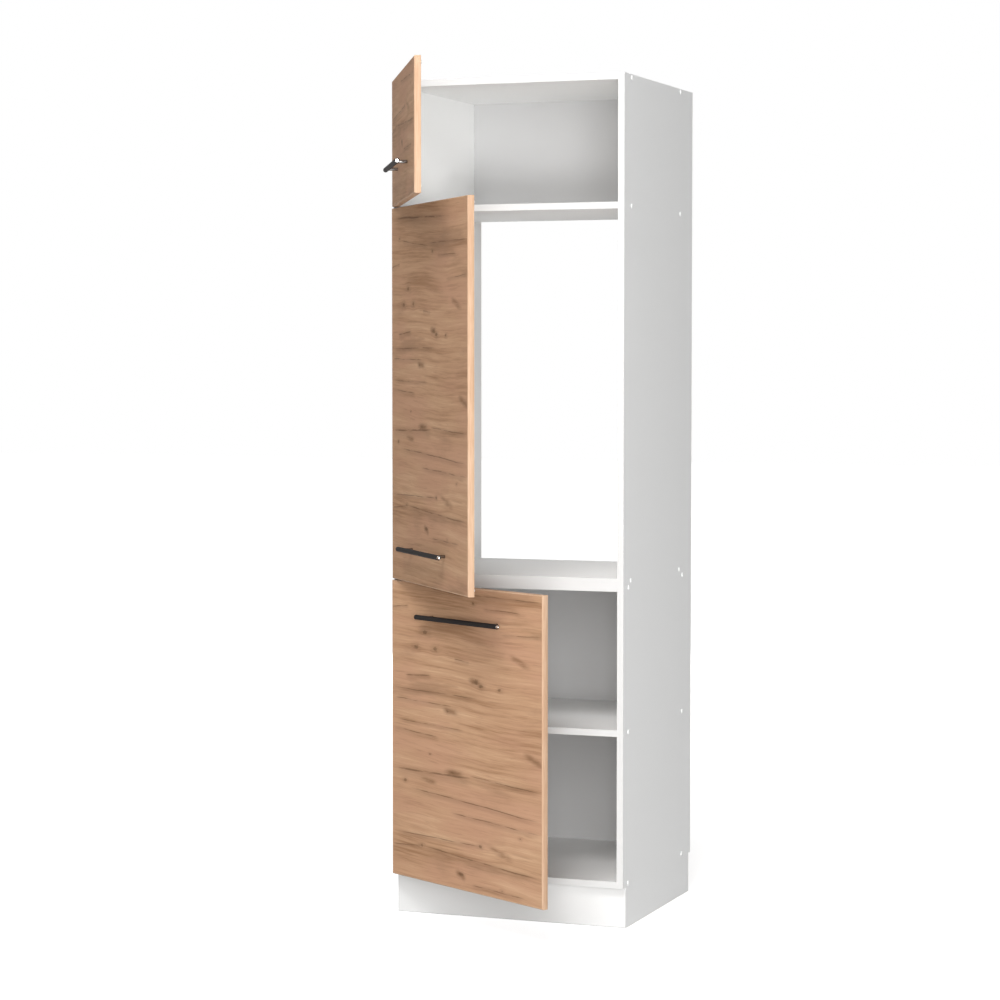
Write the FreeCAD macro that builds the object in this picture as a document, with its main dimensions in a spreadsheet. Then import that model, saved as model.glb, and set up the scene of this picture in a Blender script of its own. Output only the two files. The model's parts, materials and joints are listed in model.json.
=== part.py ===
import FreeCAD, Part
import os

# Fridge housing cabinet: a lower cupboard box, and on it an upper box with an open niche for a built-in
# fridge and a compartment over it. Three doors hang on concealed hinges on the left side.
# X runs along the width, Y to the back, Z up. The origin is at mid width on the floor, under the
# middle of the plinth board. The doors stand open, each at its own angle.

# Driving dimensions, in millimetres and degrees
sizes = {
    # Carcass
    "cabinet_width": 600,
    "carcass_depth": 552,
    "board_thickness": 16,
    "back_thickness": 3,
    "band_thickness": 0.5,
    "plinth_height": 100,
    "plinth_setback": 20,
    "lower_bay_height": 354,
    "middle_bay_height": 336,
    "niche_height": 890,
    "top_bay_height": 292,
    "air_shaft_depth": 49,
    "skirting_depth": 15,
    "skirting_height": 100,
    "groove_depth": 8,
    "back_clearance": 0.2,
    "shelf_clearance": 1,
    "fit_clearance": 0.05,
    # Connecting screws, caps and dowels at the board ends
    "upper_front_fixing": 57,
    "upper_rear_fixing": 50,
    "lower_front_fixing": 40,
    "lower_rear_fixing": 73,
    "dowel_offset": 32,
    "screw_head_radius": 5,
    "screw_head_length": 2,
    "screw_shank_radius": 3.5,
    "screw_thread_radius": 2.5,
    "screw_thread_length": 34,
    "screw_socket_radius": 2,
    "screw_socket_depth": 3.5,
    "cap_radius": 6.2,
    "cap_rim_radius": 3.6,
    "cap_height": 2.2,
    "cap_stem_length": 3,
    "dowel_radius": 4,
    "dowel_length": 30,
    "dowel_in_side": 10,
    # Screws between the two boxes, and nails in the back panels
    "joining_screw_x": 200,
    "joining_screw_margin": 90,
    "joining_screw_radius": 2,
    "joining_screw_length": 28,
    "joining_head_radius": 4,
    "joining_head_height": 2.4,
    "nail_margin": 45,
    "nail_radius": 0.8,
    "nail_length": 20,
    "nail_head_radius": 1.8,
    "nail_head_height": 0.6,
    # Angle brackets behind the plinth and in the air shaft
    "bracket_metal": 2,
    "bracket_leg": 30,
    "bracket_height": 24,
    "bracket_hole_offset": 18,
    "wall_bracket_leg": 40,
    "wall_bracket_flange": 34,
    "wall_bracket_height": 30,
    "wall_bracket_drop": 120,
    "wall_hole_offset": 20,
    "wall_hole_radius": 3,
    "wall_screw_rear": 12,
    "wall_screw_pitch": 18,
    "wood_screw_radius": 1.75,
    "wood_screw_length": 12,
    "wood_head_radius": 3.5,
    "wood_head_height": 1.6,
    # Doors
    "door_thickness": 16,
    "door_edging": 1,
    "door_gap": 3,
    "door_reveal": 1.5,
    "door_joint": 3,
    "door_split_offset": 12,
    "top_door_angle": 62,
    "fridge_door_angle": 50,
    "lower_door_angle": 31,
    "bumper_radius": 4,
    "bumper_margin": 15,
    "bumper_clearance": 0.3,
    # Hinges
    "pivot_inset": 7.5,
    "pivot_depth": 9,
    "pin_radius": 1.5,
    "pin_length": 18,
    "pin_clearance": 0.05,
    "cup_edge": 3,
    "cup_radius": 17.5,
    "cup_depth": 13,
    "cup_clearance": 0.1,
    "cup_rim": 2,
    "flange_width": 20,
    "flange_length": 56,
    "flange_thickness": 1,
    "cup_screw_pitch": 45,
    "eye_radius": 2.6,
    "eye_clearance": 0.4,
    "arm_metal": 2.4,
    "arm_bar_top": 1,
    "arm_reach": 24,
    "arm_width": 10,
    "arm_side_clearance": 0.5,
    "arm_body_width": 14,
    "arm_body_wall": 1.5,
    "arm_start": 6,
    "arm_length": 60,
    "arm_neck": 4,
    "arm_screw_front": 16,
    "arm_screw_pitch": 28,
    "arm_screw_radius": 2,
    "arm_head_radius": 3,
    "arm_head_height": 1.5,
    "plate_setback": 37,
    "plate_height": 3,
    "plate_wing": 16,
    "plate_span": 46,
    "plate_screw_pitch": 32,
    "plate_screw_radius": 2.5,
    "plate_screw_length": 14,
    "plate_head_radius": 4,
    "plate_head_height": 1.5,
    "top_hinge_margin": 80,
    "fridge_hinge_margin": 100,
    "lower_hinge_margin": 100,
    # Handles
    "handle_margin": 82,
    "handle_standoff": 27,
    "handle_pitch": 256,
    "handle_overhang": 34,
    "bar_radius": 6,
    "bar_disc_radius": 4.2,
    "bar_disc_depth": 1.5,
    "post_radius": 4,
    "post_end_gap": 2,
    "handle_bolt_radius": 2,
    "handle_bolt_in_post": 12,
    "handle_head_radius": 4,
    "handle_head_height": 2.4,
}

doc = FreeCAD.newDocument("fridge_housing_cabinet")
sheet = doc.addObject("Spreadsheet::Sheet", "dims")
for row, (alias, value) in enumerate(sizes.items(), start=1):
    sheet.set(f"A{row}", alias)
    sheet.set(f"B{row}", str(value))
    sheet.setAlias(f"B{row}", alias)
doc.recompute()

# Formulas that several pieces share. Depths (Y) count from the front plane of the carcass.
front = "(-dims.plinth_setback - dims.board_thickness / 2)"
board = "dims.board_thickness"
half_width = "(dims.cabinet_width / 2)"
inner_half = "(dims.cabinet_width / 2 - dims.board_thickness)"
inner_width = "(dims.cabinet_width - 2 * dims.board_thickness)"
bottom_under = "dims.plinth_height"
shelf_under = "(dims.plinth_height + dims.board_thickness + dims.lower_bay_height)"
lower_top_under = f"({shelf_under} + dims.board_thickness + dims.middle_bay_height)"
seam = f"({lower_top_under} + dims.board_thickness)"
niche_top = f"({seam} + dims.board_thickness + dims.niche_height)"
top_under = f"({niche_top} + dims.board_thickness + dims.top_bay_height)"
cabinet_top = f"({top_under} + dims.board_thickness)"
upper_back_front = "(dims.carcass_depth - dims.air_shaft_depth - dims.back_thickness)"
lower_back_front = "(dims.carcass_depth - dims.back_thickness)"
plinth_back = "(dims.plinth_setback + dims.board_thickness)"
fit = "dims.fit_clearance"

turn_to_x = FreeCAD.Rotation(FreeCAD.Vector(0, 1, 0), 90)
turn_to_y = FreeCAD.Rotation(FreeCAD.Vector(1, 0, 0), -90)
turns = {"X": turn_to_x, "Y": turn_to_y, "Z": FreeCAD.Rotation()}
half_turn = FreeCAD.Rotation(FreeCAD.Vector(0, 0, 1), 180)
facing_front = FreeCAD.Rotation(FreeCAD.Vector(0, 0, 1), -90)
straight = FreeCAD.Rotation()


def place(obj, spot, rotation=straight):
    obj.Placement = FreeCAD.Placement(FreeCAD.Vector(), rotation)
    for letter, formula in zip("xyz", spot):
        obj.setExpression(f"Placement.Base.{letter}", formula)


def box(name, corner, size):
    obj = doc.addObject("Part::Box", name)
    for side, formula in zip(("Length", "Width", "Height"), size):
        obj.setExpression(side, formula)
    place(obj, corner)
    return obj


def rod(name, axis, start, radius, length):
    obj = doc.addObject("Part::Cylinder", name)
    obj.setExpression("Radius", radius)
    obj.setExpression("Height", length)
    place(obj, start, turns[axis])
    return obj


def taper(name, axis, start, start_radius, end_radius, length):
    obj = doc.addObject("Part::Cone", name)
    obj.setExpression("Radius1", start_radius)
    obj.setExpression("Radius2", end_radius)
    obj.setExpression("Height", length)
    place(obj, start, turns[axis])
    return obj


def fuse(name, shapes):
    obj = doc.addObject("Part::MultiFuse", name)
    obj.Shapes = shapes
    return obj


def group(name, members):
    obj = doc.addObject("Part::Compound", name)
    obj.Links = members
    return obj


def cut(name, base, tools):
    obj = doc.addObject("Part::Cut", name)
    obj.Base = base
    obj.Tool = tools[0] if len(tools) == 1 else group(f"{name}_tools", tools)
    return obj


def mirrored(name, source):
    obj = doc.addObject("Part::Mirroring", name)
    obj.Source = source
    obj.Normal = FreeCAD.Vector(1, 0, 0)
    return obj


def copies(name, master, spots):
    # One copy of the master at each spot, a place and a rotation
    links = []
    for number, (spot, rotation) in enumerate(spots, start=1):
        link = doc.addObject("App::Link", f"{name}_{number}")
        link.LinkedObject = master
        link.LinkTransform = True
        place(link, spot, rotation)
        links.append(link)
    return group(name, links)


def depth(formula):
    # Row Y of a depth counted from the front plane of the carcass
    return f"{front} + {formula}"


nodes = {}


def node(name, obj):
    obj.Label = name
    nodes[name] = obj


# Connecting screws: heads in the outer faces of the sides, threads in the board ends
screw_body = fuse("screw_body", [
    rod("screw_head", "X", ("0", "0", "0"), "dims.screw_head_radius", "dims.screw_head_length"),
    rod("screw_shank", "X", ("0", "0", "0"), "dims.screw_shank_radius", board),
    rod("screw_thread", "X", ("0", "0", "0"), "dims.screw_thread_radius",
        f"{board} + dims.screw_thread_length"),
])
screw_socket = rod("screw_socket", "X", ("0", "0", "0"), "dims.screw_socket_radius",
                   "dims.screw_socket_depth")
screw = cut("screw", screw_body, [screw_socket])
screw_hole = fuse("screw_hole", [
    rod("screw_head_hole", "X", ("-dims.cap_height", "0", "0"), f"dims.screw_head_radius + {fit}",
        f"dims.cap_height + dims.screw_head_length + {fit}"),
    rod("screw_shank_hole", "X", ("0", "0", "0"), f"dims.screw_shank_radius + {fit}", board),
    rod("screw_thread_hole", "X", ("0", "0", "0"), f"dims.screw_thread_radius + {fit}",
        f"{board} + dims.screw_thread_length + 1"),
])
cap = fuse("cap", [
    taper("cap_disc", "X", ("-dims.cap_height", "0", "0"), "dims.cap_rim_radius", "dims.cap_radius",
          "dims.cap_height"),
    rod("cap_stem", "X", ("0", "0", "0"), f"dims.screw_socket_radius - {fit}", "dims.cap_stem_length"),
])
dowel = rod("dowel", "X", ("-dims.dowel_in_side", "0", "0"), "dims.dowel_radius", "dims.dowel_length")
dowel_hole = rod("dowel_hole", "X", (f"-dims.dowel_in_side - {fit}", "0", "0"),
                 f"dims.dowel_radius + {fit}", f"dims.dowel_length + 2 * {fit}")

upper_levels = [f"{seam} + {board} / 2", f"{niche_top} + {board} / 2", f"{top_under} + {board} / 2"]
lower_levels = [f"{bottom_under} + {board} / 2", f"{shelf_under} + {board} / 2",
                f"{lower_top_under} + {board} / 2"]
upper_rear = f"({upper_back_front} - dims.upper_rear_fixing)"
lower_rear = f"({lower_back_front} - dims.lower_rear_fixing)"
screw_rows = [(level, "dims.upper_front_fixing", upper_rear) for level in upper_levels]
screw_rows += [(level, "dims.lower_front_fixing", lower_rear) for level in lower_levels]

screw_spots = []
dowel_spots = []
for level, front_row, rear_row in screw_rows:
    dowel_rows = (f"{front_row} + dims.dowel_offset", f"{rear_row} - dims.dowel_offset")
    for row in (front_row, rear_row):
        screw_spots.append(((f"-{half_width}", depth(row), level), straight))
        screw_spots.append(((half_width, depth(row), level), half_turn))
    for row in dowel_rows:
        dowel_spots.append(((f"-{inner_half}", depth(row), level), straight))
        dowel_spots.append(((inner_half, depth(row), level), half_turn))
node("carcass_screws", copies("carcass_screws", screw, screw_spots))
node("screw_caps", copies("screw_caps", cap, screw_spots))
node("carcass_dowels", copies("carcass_dowels", dowel, dowel_spots))
end_holes = [copies("screw_holes", screw_hole, screw_spots), copies("dowel_holes", dowel_hole, dowel_spots)]

# Countersunk screws that join the boxes, upwards from inside the lower one
joining_screw = fuse("joining_screw", [
    taper("joining_head", "Z", ("0", "0", "0"), "dims.joining_head_radius", "dims.joining_screw_radius",
          "dims.joining_head_height"),
    rod("joining_shank", "Z", ("0", "0", "0"), "dims.joining_screw_radius", "dims.joining_screw_length"),
])
joining_hole = fuse("joining_hole", [
    taper("joining_head_hole", "Z", ("0", "0", "0"), f"dims.joining_head_radius + {fit}",
          f"dims.joining_screw_radius + {fit}", "dims.joining_head_height"),
    rod("joining_shank_hole", "Z", ("0", "0", "0"), f"dims.joining_screw_radius + {fit}",
        f"dims.joining_screw_length + {fit}"),
])
joining_spots = []
for x in ("-dims.joining_screw_x", "dims.joining_screw_x"):
    for row in ("dims.joining_screw_margin", f"{lower_back_front} - dims.joining_screw_margin"):
        joining_spots.append(((x, depth(row), lower_top_under), straight))
node("box_joining_screws", copies("box_joining_screws", joining_screw, joining_spots))
joining_holes = copies("joining_holes", joining_hole, joining_spots)

# Nails through the back panels into the rear edges of the boards
nail = fuse("nail", [
    rod("nail_head", "X", ("0", "0", "0"), "dims.nail_head_radius", "dims.nail_head_height"),
    rod("nail_shank", "X", ("0", "0", "0"), "dims.nail_radius", "dims.nail_length"),
])
nail_hole = fuse("nail_hole", [
    rod("nail_head_hole", "X", (f"-{fit}", "0", "0"), f"dims.nail_head_radius + {fit}",
        f"dims.nail_head_height + 2 * {fit}"),
    rod("nail_shank_hole", "X", ("0", "0", "0"), f"dims.nail_radius + {fit}", f"dims.nail_length + {fit}"),
])
nail_spots = []
for rear_face, levels in (
    (f"{upper_back_front} + dims.back_thickness", (f"{niche_top} + {board} / 2", f"{top_under} + {board} / 2")),
    ("dims.carcass_depth", (f"{bottom_under} + {board} / 2", f"{lower_top_under} + {board} / 2")),
):
    for level in levels:
        for share in (-1, -1 / 3, 1 / 3, 1):
            x = f"{share:.4f} * ({inner_half} - dims.nail_margin)"
            nail_spots.append(((x, depth(rear_face), level), facing_front))
node("back_panel_nails", copies("back_panel_nails", nail, nail_spots))
nail_holes = copies("nail_holes", nail_hole, nail_spots)

# Pan-head wood screws: origin under the head, which lies on the metal
wood_screw = fuse("wood_screw", [
    rod("wood_head", "X", ("-dims.wood_head_height", "0", "0"), "dims.wood_head_radius",
        "dims.wood_head_height"),
    rod("wood_shank", "X", ("0", "0", "0"), "dims.wood_screw_radius", "dims.wood_screw_length"),
])
wood_hole = rod("wood_hole", "X", (f"-{fit}", "0", "0"), f"dims.wood_screw_radius + {fit}",
                f"dims.wood_screw_length + 2 * {fit}")


def bracket(name, rear_leg, side_leg, rear_place, height, level, holes):
    # Angle of two plates on the left side board, and its mirror image on the right
    rear_plate = box(f"{name}_rear_plate", (f"-{inner_half}", rear_place, level),
                     (rear_leg, "dims.bracket_metal", height))
    side_plate = box(f"{name}_side_plate", (f"-{inner_half}", side_leg[0], level),
                     ("dims.bracket_metal", side_leg[1], height))
    left = cut(f"{name}_left", fuse(f"{name}_angle", [rear_plate, side_plate]), holes)
    return group(name, [left, mirrored(f"{name}_right", left)])


def bracket_screw_spots(side, spots):
    # The spots as given on the left, or turned over to the right
    if side == "left":
        return spots
    return [((f"-({x})", y, z), straight if turn == half_turn else turn) for (x, y, z), turn in spots]


# Plinth brackets: one leg on the plinth board, one on the side board's foot
plinth_level = "(dims.plinth_height - dims.bracket_height) / 2"
plinth_spots = [
    ((f"-{inner_half} + dims.bracket_hole_offset", depth(f"{plinth_back} + dims.bracket_metal"),
      "dims.plinth_height / 2"), facing_front),
    ((f"-{inner_half} + dims.bracket_metal", depth(f"{plinth_back} + dims.bracket_hole_offset"),
      "dims.plinth_height / 2"), half_turn),
]
plinth_left_holes = copies("plinth_left_holes", wood_hole, plinth_spots)
plinth_right_holes = copies("plinth_right_holes", wood_hole, bracket_screw_spots("right", plinth_spots))
node("plinth_brackets", bracket("plinth_brackets", "dims.bracket_leg", (depth(plinth_back), "dims.bracket_leg"),
                                depth(plinth_back), "dims.bracket_height", plinth_level, [plinth_left_holes]))
node("plinth_bracket_screws", copies("plinth_bracket_screws", wood_screw,
                                     plinth_spots + bracket_screw_spots("right", plinth_spots)))

# Wall brackets in the air shaft: a leg on the side board, a flange in the rear plane with the wall hole
wall_level = f"({cabinet_top} - dims.wall_bracket_drop)"
wall_middle = f"({wall_level} + dims.wall_bracket_height / 2)"
wall_rows = ("dims.carcass_depth - dims.wall_screw_rear",
             "dims.carcass_depth - dims.wall_screw_rear - dims.wall_screw_pitch")
wall_spots = [((f"-{inner_half} + dims.bracket_metal", depth(row), wall_middle), half_turn)
              for row in wall_rows]
wall_left_holes = copies("wall_left_holes", wood_hole, wall_spots)
wall_right_holes = copies("wall_right_holes", wood_hole, bracket_screw_spots("right", wall_spots))
wall_hole = rod("wall_hole", "Y", (f"-{inner_half} + dims.wall_hole_offset",
                                   depth("dims.carcass_depth - 2 * dims.bracket_metal"), wall_middle),
                "dims.wall_hole_radius", "4 * dims.bracket_metal")
node("wall_brackets", bracket(
    "wall_brackets", "dims.wall_bracket_flange",
    (depth("dims.carcass_depth - dims.wall_bracket_leg"), "dims.wall_bracket_leg"),
    depth("dims.carcass_depth - dims.bracket_metal"), "dims.wall_bracket_height", wall_level,
    [wall_left_holes, wall_hole]))
node("wall_bracket_screws", copies("wall_bracket_screws", wood_screw,
                                   wall_spots + bracket_screw_spots("right", wall_spots)))

# The doors: heights, rest angles and hinge heights. Door pieces are drawn shut, about the pivot axis.
pivot_x = f"(-{half_width} + dims.door_reveal + dims.pivot_inset)"
pivot_y = "(-dims.door_gap - dims.pivot_depth)"
door_left = "(-dims.pivot_inset)"
door_width = "(dims.cabinet_width - 2 * dims.door_reveal)"
door_back = "dims.pivot_depth"
door_front = "(dims.pivot_depth - dims.door_thickness)"
door_split = f"({niche_top} + dims.door_split_offset)"
door_ends = {
    "top_door": (f"({door_split} + dims.door_joint / 2)", f"({cabinet_top} - dims.door_reveal)"),
    "fridge_door": (f"({seam} + dims.door_joint / 2)", f"({door_split} - dims.door_joint / 2)"),
    "lower_door": (f"({bottom_under} + dims.door_reveal)", f"({seam} - dims.door_joint / 2)"),
}
hinge_levels = {}
for door, (low, high) in door_ends.items():
    margin = f"dims.{door.replace('door', 'hinge')}_margin"
    hinge_levels[door] = [f"{low} + {margin}", f"{high} - {margin}"]
hinge_levels["fridge_door"].append("({0} + {1}) / 2".format(*door_ends["fridge_door"]))
all_hinge_levels = [level for levels in hinge_levels.values() for level in levels]

# Hinge plates on the left side boards
plate_front = "(dims.plate_setback - dims.plate_wing / 2)"
plate_length = f"(dims.arm_start + dims.arm_length - {plate_front})"
plate_body = fuse("plate_body", [
    box("plate_wings", ("0", plate_front, "-dims.plate_span / 2"),
        ("dims.plate_height", "dims.plate_wing", "dims.plate_span")),
    box("plate_spine", ("0", plate_front, "-dims.arm_body_width / 2"),
        ("dims.plate_height", plate_length, "dims.arm_body_width")),
])
plate_screw = fuse("plate_screw", [
    rod("plate_head", "X", ("-dims.plate_head_height", "0", "0"), "dims.plate_head_radius",
        "dims.plate_head_height"),
    rod("plate_shank", "X", ("0", "0", "0"), "dims.plate_screw_radius", "dims.plate_screw_length"),
])
plate_screw_hole = rod("plate_screw_hole", "X", (f"-{fit}", "0", "0"), f"dims.plate_screw_radius + {fit}",
                       f"dims.plate_screw_length + 2 * {fit}")
wing_spots = [(("dims.plate_height", "dims.plate_setback", z), half_turn)
              for z in ("-dims.plate_screw_pitch / 2", "dims.plate_screw_pitch / 2")]
arm_top = f"({pivot_x} + dims.arm_reach + {inner_half})"
arm_screw_length = f"({arm_top} - dims.plate_height / 4)"
arm_screw = fuse("arm_screw", [
    rod("arm_screw_head", "X", ("-dims.arm_head_height", "0", "0"), "dims.arm_head_radius",
        "dims.arm_head_height"),
    rod("arm_screw_shank", "X", ("0", "0", "0"), "dims.arm_screw_radius", arm_screw_length),
])
arm_screw_hole = rod("arm_screw_hole", "X", (f"-{fit}", "0", "0"), f"dims.arm_screw_radius + {fit}",
                     f"{arm_top} + 2 * {fit}")
arm_screw_rows = ("(dims.arm_start + dims.arm_screw_front)",
                  "(dims.arm_start + dims.arm_screw_front + dims.arm_screw_pitch)")
arm_screw_spots = [((arm_top, row, "0"), half_turn) for row in arm_screw_rows]
arm_screw_holes = copies("arm_screw_holes", arm_screw_hole, arm_screw_spots)
plate = cut("plate", plate_body, [copies("plate_wing_holes", plate_screw_hole, wing_spots), arm_screw_holes])

# Hinge arms: a channel over the plate, and a neck that reaches round into the cup to the pivot eye
pivot_from_side = f"({pivot_x} + {inner_half})"
channel_height = f"({arm_top} - dims.plate_height)"
arm_channel = cut("arm_channel", box(
    "arm_block", ("dims.plate_height", "dims.arm_start", "-dims.arm_body_width / 2"),
    (channel_height, "dims.arm_length", "dims.arm_body_width")), [box(
        "arm_hollow", ("0", "dims.arm_start - 1", "-dims.arm_body_width / 2 + dims.arm_body_wall"),
        (f"{arm_top} - dims.arm_body_wall", "dims.arm_length + 2",
         "dims.arm_body_width - 2 * dims.arm_body_wall"))])
arm_bar_under = f"({pivot_y} + dims.arm_bar_top - dims.arm_metal)"
arm_body = fuse("arm_body", [
    arm_channel,
    box("arm_neck", (f"{arm_top} - dims.arm_metal", arm_bar_under, "-dims.arm_width / 2"),
        ("dims.arm_metal", f"dims.arm_start + dims.arm_neck - {arm_bar_under}", "dims.arm_width")),
    box("arm_bar", (pivot_from_side, arm_bar_under, "-dims.arm_width / 2"),
        ("dims.arm_reach", "dims.arm_metal", "dims.arm_width")),
    rod("arm_eye", "Z", (pivot_from_side, pivot_y, "-dims.arm_width / 2"), "dims.eye_radius",
        "dims.arm_width"),
])
pin_bore = rod("pin_bore", "Z", (pivot_from_side, pivot_y, "-dims.pin_length / 2"),
               "dims.pin_radius + dims.pin_clearance", "dims.pin_length")
arm = cut("arm", arm_body, [pin_bore, arm_screw_holes])

hinge_spots = [((f"-{inner_half}", front, level), straight) for level in all_hinge_levels]
plate_screw_spots = []
arm_screw_places = []
for level in all_hinge_levels:
    for (x, y, z), turn in wing_spots:
        plate_screw_spots.append(((f"-{inner_half} + {x}", depth(y), f"{level} + {z}"), turn))
    for (x, y, z), turn in arm_screw_spots:
        arm_screw_places.append(((f"-{inner_half} + {x}", depth(y), level), turn))
node("hinge_plates", copies("hinge_plates", plate, hinge_spots))
node("hinge_plate_screws", copies("hinge_plate_screws", plate_screw, plate_screw_spots))
node("hinge_arms", copies("hinge_arms", arm, hinge_spots))
node("hinge_arm_screws", copies("hinge_arm_screws", arm_screw, arm_screw_places))
plate_screw_holes = copies("plate_screw_holes", plate_screw_hole, plate_screw_spots)

# Side boards
side_holes = end_holes + [plinth_left_holes, plinth_right_holes, wall_left_holes, wall_right_holes,
                          plate_screw_holes]
board_depth = "dims.carcass_depth - dims.band_thickness"
for side, left_edge, groove_edge in (
    ("left", f"-{half_width}", f"-{inner_half} - dims.groove_depth"),
    ("right", inner_half, f"{inner_half} - 1"),
):
    upper_board = box(f"upper_board_{side}", (left_edge, depth("dims.band_thickness"), seam),
                      (board, board_depth, f"{cabinet_top} - {seam}"))
    groove = box(f"back_groove_{side}",
                 (groove_edge, depth(f"{upper_back_front} - dims.back_clearance"),
                  f"{niche_top} - dims.back_clearance"),
                 ("dims.groove_depth + 1", "dims.back_thickness + 2 * dims.back_clearance",
                  f"{cabinet_top} - {niche_top} + 1"))
    node(f"upper_side_{side}", cut(f"upper_side_{side}", upper_board, [groove] + side_holes))

    lower_board = box(f"lower_board_{side}", (left_edge, depth("dims.band_thickness"), "0"),
                      (board, board_depth, seam))
    plinth_notch = box(f"plinth_notch_{side}", (f"{left_edge} - 1", depth("-1"), "-1"),
                       (f"{board} + 2", f"{plinth_back} + 1", "dims.plinth_height + 1"))
    skirting_notch = box(f"skirting_notch_{side}",
                         (f"{left_edge} - 1", depth("dims.carcass_depth - dims.skirting_depth"), "-1"),
                         (f"{board} + 2", "dims.skirting_depth + 1", "dims.skirting_height + 1"))
    rebate = box(f"back_rebate_{side}",
                 (groove_edge, depth(f"{lower_back_front} - dims.back_clearance"),
                  f"{bottom_under} - dims.back_clearance"),
                 ("dims.groove_depth + 1", "dims.back_thickness + dims.back_clearance + 1",
                  f"{seam} - {bottom_under} + 1"))
    node(f"lower_side_{side}", cut(f"lower_side_{side}", lower_board,
                                   [plinth_notch, skirting_notch, rebate] + side_holes))

# Boards between the sides, with the rear edge of each, and the holes that reach it
level_boards = {
    "upper_top_panel": (top_under, upper_back_front, [nail_holes]),
    "niche_top_shelf": (niche_top, upper_back_front, [nail_holes]),
    "niche_floor_panel": (seam, "dims.carcass_depth", [joining_holes]),
    "lower_top_panel": (lower_top_under, lower_back_front, [joining_holes, nail_holes]),
    "lower_shelf": (shelf_under, f"({lower_back_front} - dims.shelf_clearance)", []),
    "lower_bottom_panel": (bottom_under, lower_back_front, [nail_holes]),
}
for name, (level, rear, holes) in level_boards.items():
    blank = box(f"{name}_blank", (f"-{inner_half}", depth("dims.band_thickness"), level),
                (inner_width, f"{rear} - dims.band_thickness", board))
    node(name, cut(name, blank, end_holes + holes))

# Back panels: the upper one slides down grooves, the lower one lies in rebates
back_edge = f"(-{inner_half} - dims.groove_depth + dims.back_clearance)"
back_width = f"({inner_width} + 2 * dims.groove_depth - 2 * dims.back_clearance)"
for name, back_front, low, high in (
    ("upper_back_panel", upper_back_front, niche_top, cabinet_top),
    ("lower_back_panel", lower_back_front, bottom_under, seam),
):
    sheet_blank = box(f"{name}_blank", (back_edge, depth(back_front), low),
                      (back_width, "dims.back_thickness", f"{high} - {low}"))
    node(name, cut(name, sheet_blank, [nail_holes]))

# Plinth board, in front of the feet of the side boards
plinth_blank = box("plinth_blank", (f"-{half_width}", depth("dims.plinth_setback"), "0"),
                   ("dims.cabinet_width", board, "dims.plinth_height"))
node("plinth_board", cut("plinth_board", plinth_blank, [plinth_left_holes, plinth_right_holes]))

# Edge bands on the front edges of the two boxes
band_levels = {"upper": (seam, niche_top, top_under), "lower": (bottom_under, shelf_under, lower_top_under)}
band_ends = {"upper": (seam, cabinet_top), "lower": (bottom_under, seam)}
for part, levels in band_levels.items():
    low, high = band_ends[part]
    bands = [box(f"{part}_band_{side}", (x, front, low), (board, "dims.band_thickness", f"{high} - {low}"))
             for side, x in (("left", f"-{half_width}"), ("right", inner_half))]
    for number, level in enumerate(levels, start=1):
        bands.append(box(f"{part}_level_band_{number}", (f"-{inner_half}", front, level),
                         (inner_width, "dims.band_thickness", board)))
    node(f"{part}_edge_bands", group(f"{part}_edge_bands", bands))

# Hinge cup, drawn about the pivot axis of a shut door
cup_centre = "(dims.cup_edge + dims.cup_radius - dims.pivot_inset)"
cup_bottom = f"({door_back} - dims.cup_depth)"
cup_body = fuse("cup_body", [
    rod("cup_shell", "Y", (cup_centre, f"{cup_bottom} + dims.cup_clearance", "0"),
        "dims.cup_radius - dims.cup_clearance", "dims.cup_depth - dims.cup_clearance"),
    box("cup_flange", (f"{cup_centre} - dims.flange_width / 2", door_back, "-dims.flange_length / 2"),
        ("dims.flange_width", "dims.flange_thickness", "dims.flange_length")),
])
pocket_reach = "(dims.eye_radius + dims.eye_clearance)"
pocket_half = "(dims.arm_width / 2 + dims.arm_side_clearance)"
cup_pocket = box("cup_pocket", (f"-{pocket_reach}", f"-{pocket_reach}", f"-{pocket_half}"),
                 (f"{cup_centre} + dims.cup_radius - dims.cup_rim + {pocket_reach}",
                  f"{door_back} + dims.flange_thickness + {pocket_reach} + 1", f"2 * {pocket_half}"))
pin_seat = rod("pin_seat", "Z", ("0", "0", f"-dims.pin_length / 2 - {fit}"), f"dims.pin_radius + {fit}",
               f"dims.pin_length + 2 * {fit}")
cup_screw_spots = [((cup_centre, f"{door_back} + dims.flange_thickness", z), facing_front)
                   for z in ("-dims.cup_screw_pitch / 2", "dims.cup_screw_pitch / 2")]
cup = cut("cup", cup_body, [cup_pocket, pin_seat, copies("flange_holes", wood_hole, cup_screw_spots)])
pin = rod("pin", "Z", ("0", "0", "-dims.pin_length / 2"), "dims.pin_radius", "dims.pin_length")
cup_bore = rod("cup_bore", "Y", (cup_centre, cup_bottom, "0"), "dims.cup_radius", "dims.cup_depth + 1")

# Handle: a bar along the door on two posts, which bolts hold from the back of the door
handle_middle = f"({door_left} + {door_width} / 2)"
bar_axis = f"({door_front} - dims.handle_standoff)"
bar_length = "(dims.handle_pitch + 2 * dims.handle_overhang)"
bar_start = f"({handle_middle} - {bar_length} / 2)"
post_length = "(dims.handle_standoff - dims.post_end_gap)"
bar_blank = rod("bar_blank", "X", (bar_start, bar_axis, "0"), "dims.bar_radius", bar_length)
disc = rod("bar_disc", "X", ("0", "0", "0"), "dims.bar_disc_radius", "dims.bar_disc_depth")
disc_seat = rod("bar_disc_seat", "X", (f"-{fit}", "0", "0"), f"dims.bar_disc_radius + {fit}",
                f"dims.bar_disc_depth + 2 * {fit}")
disc_spots = [((bar_start, bar_axis, "0"), straight),
              ((f"{bar_start} + {bar_length}", bar_axis, "0"), half_turn)]
post_blank = rod("post_blank", "X", ("0", "0", "0"), "dims.post_radius", post_length)
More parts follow.
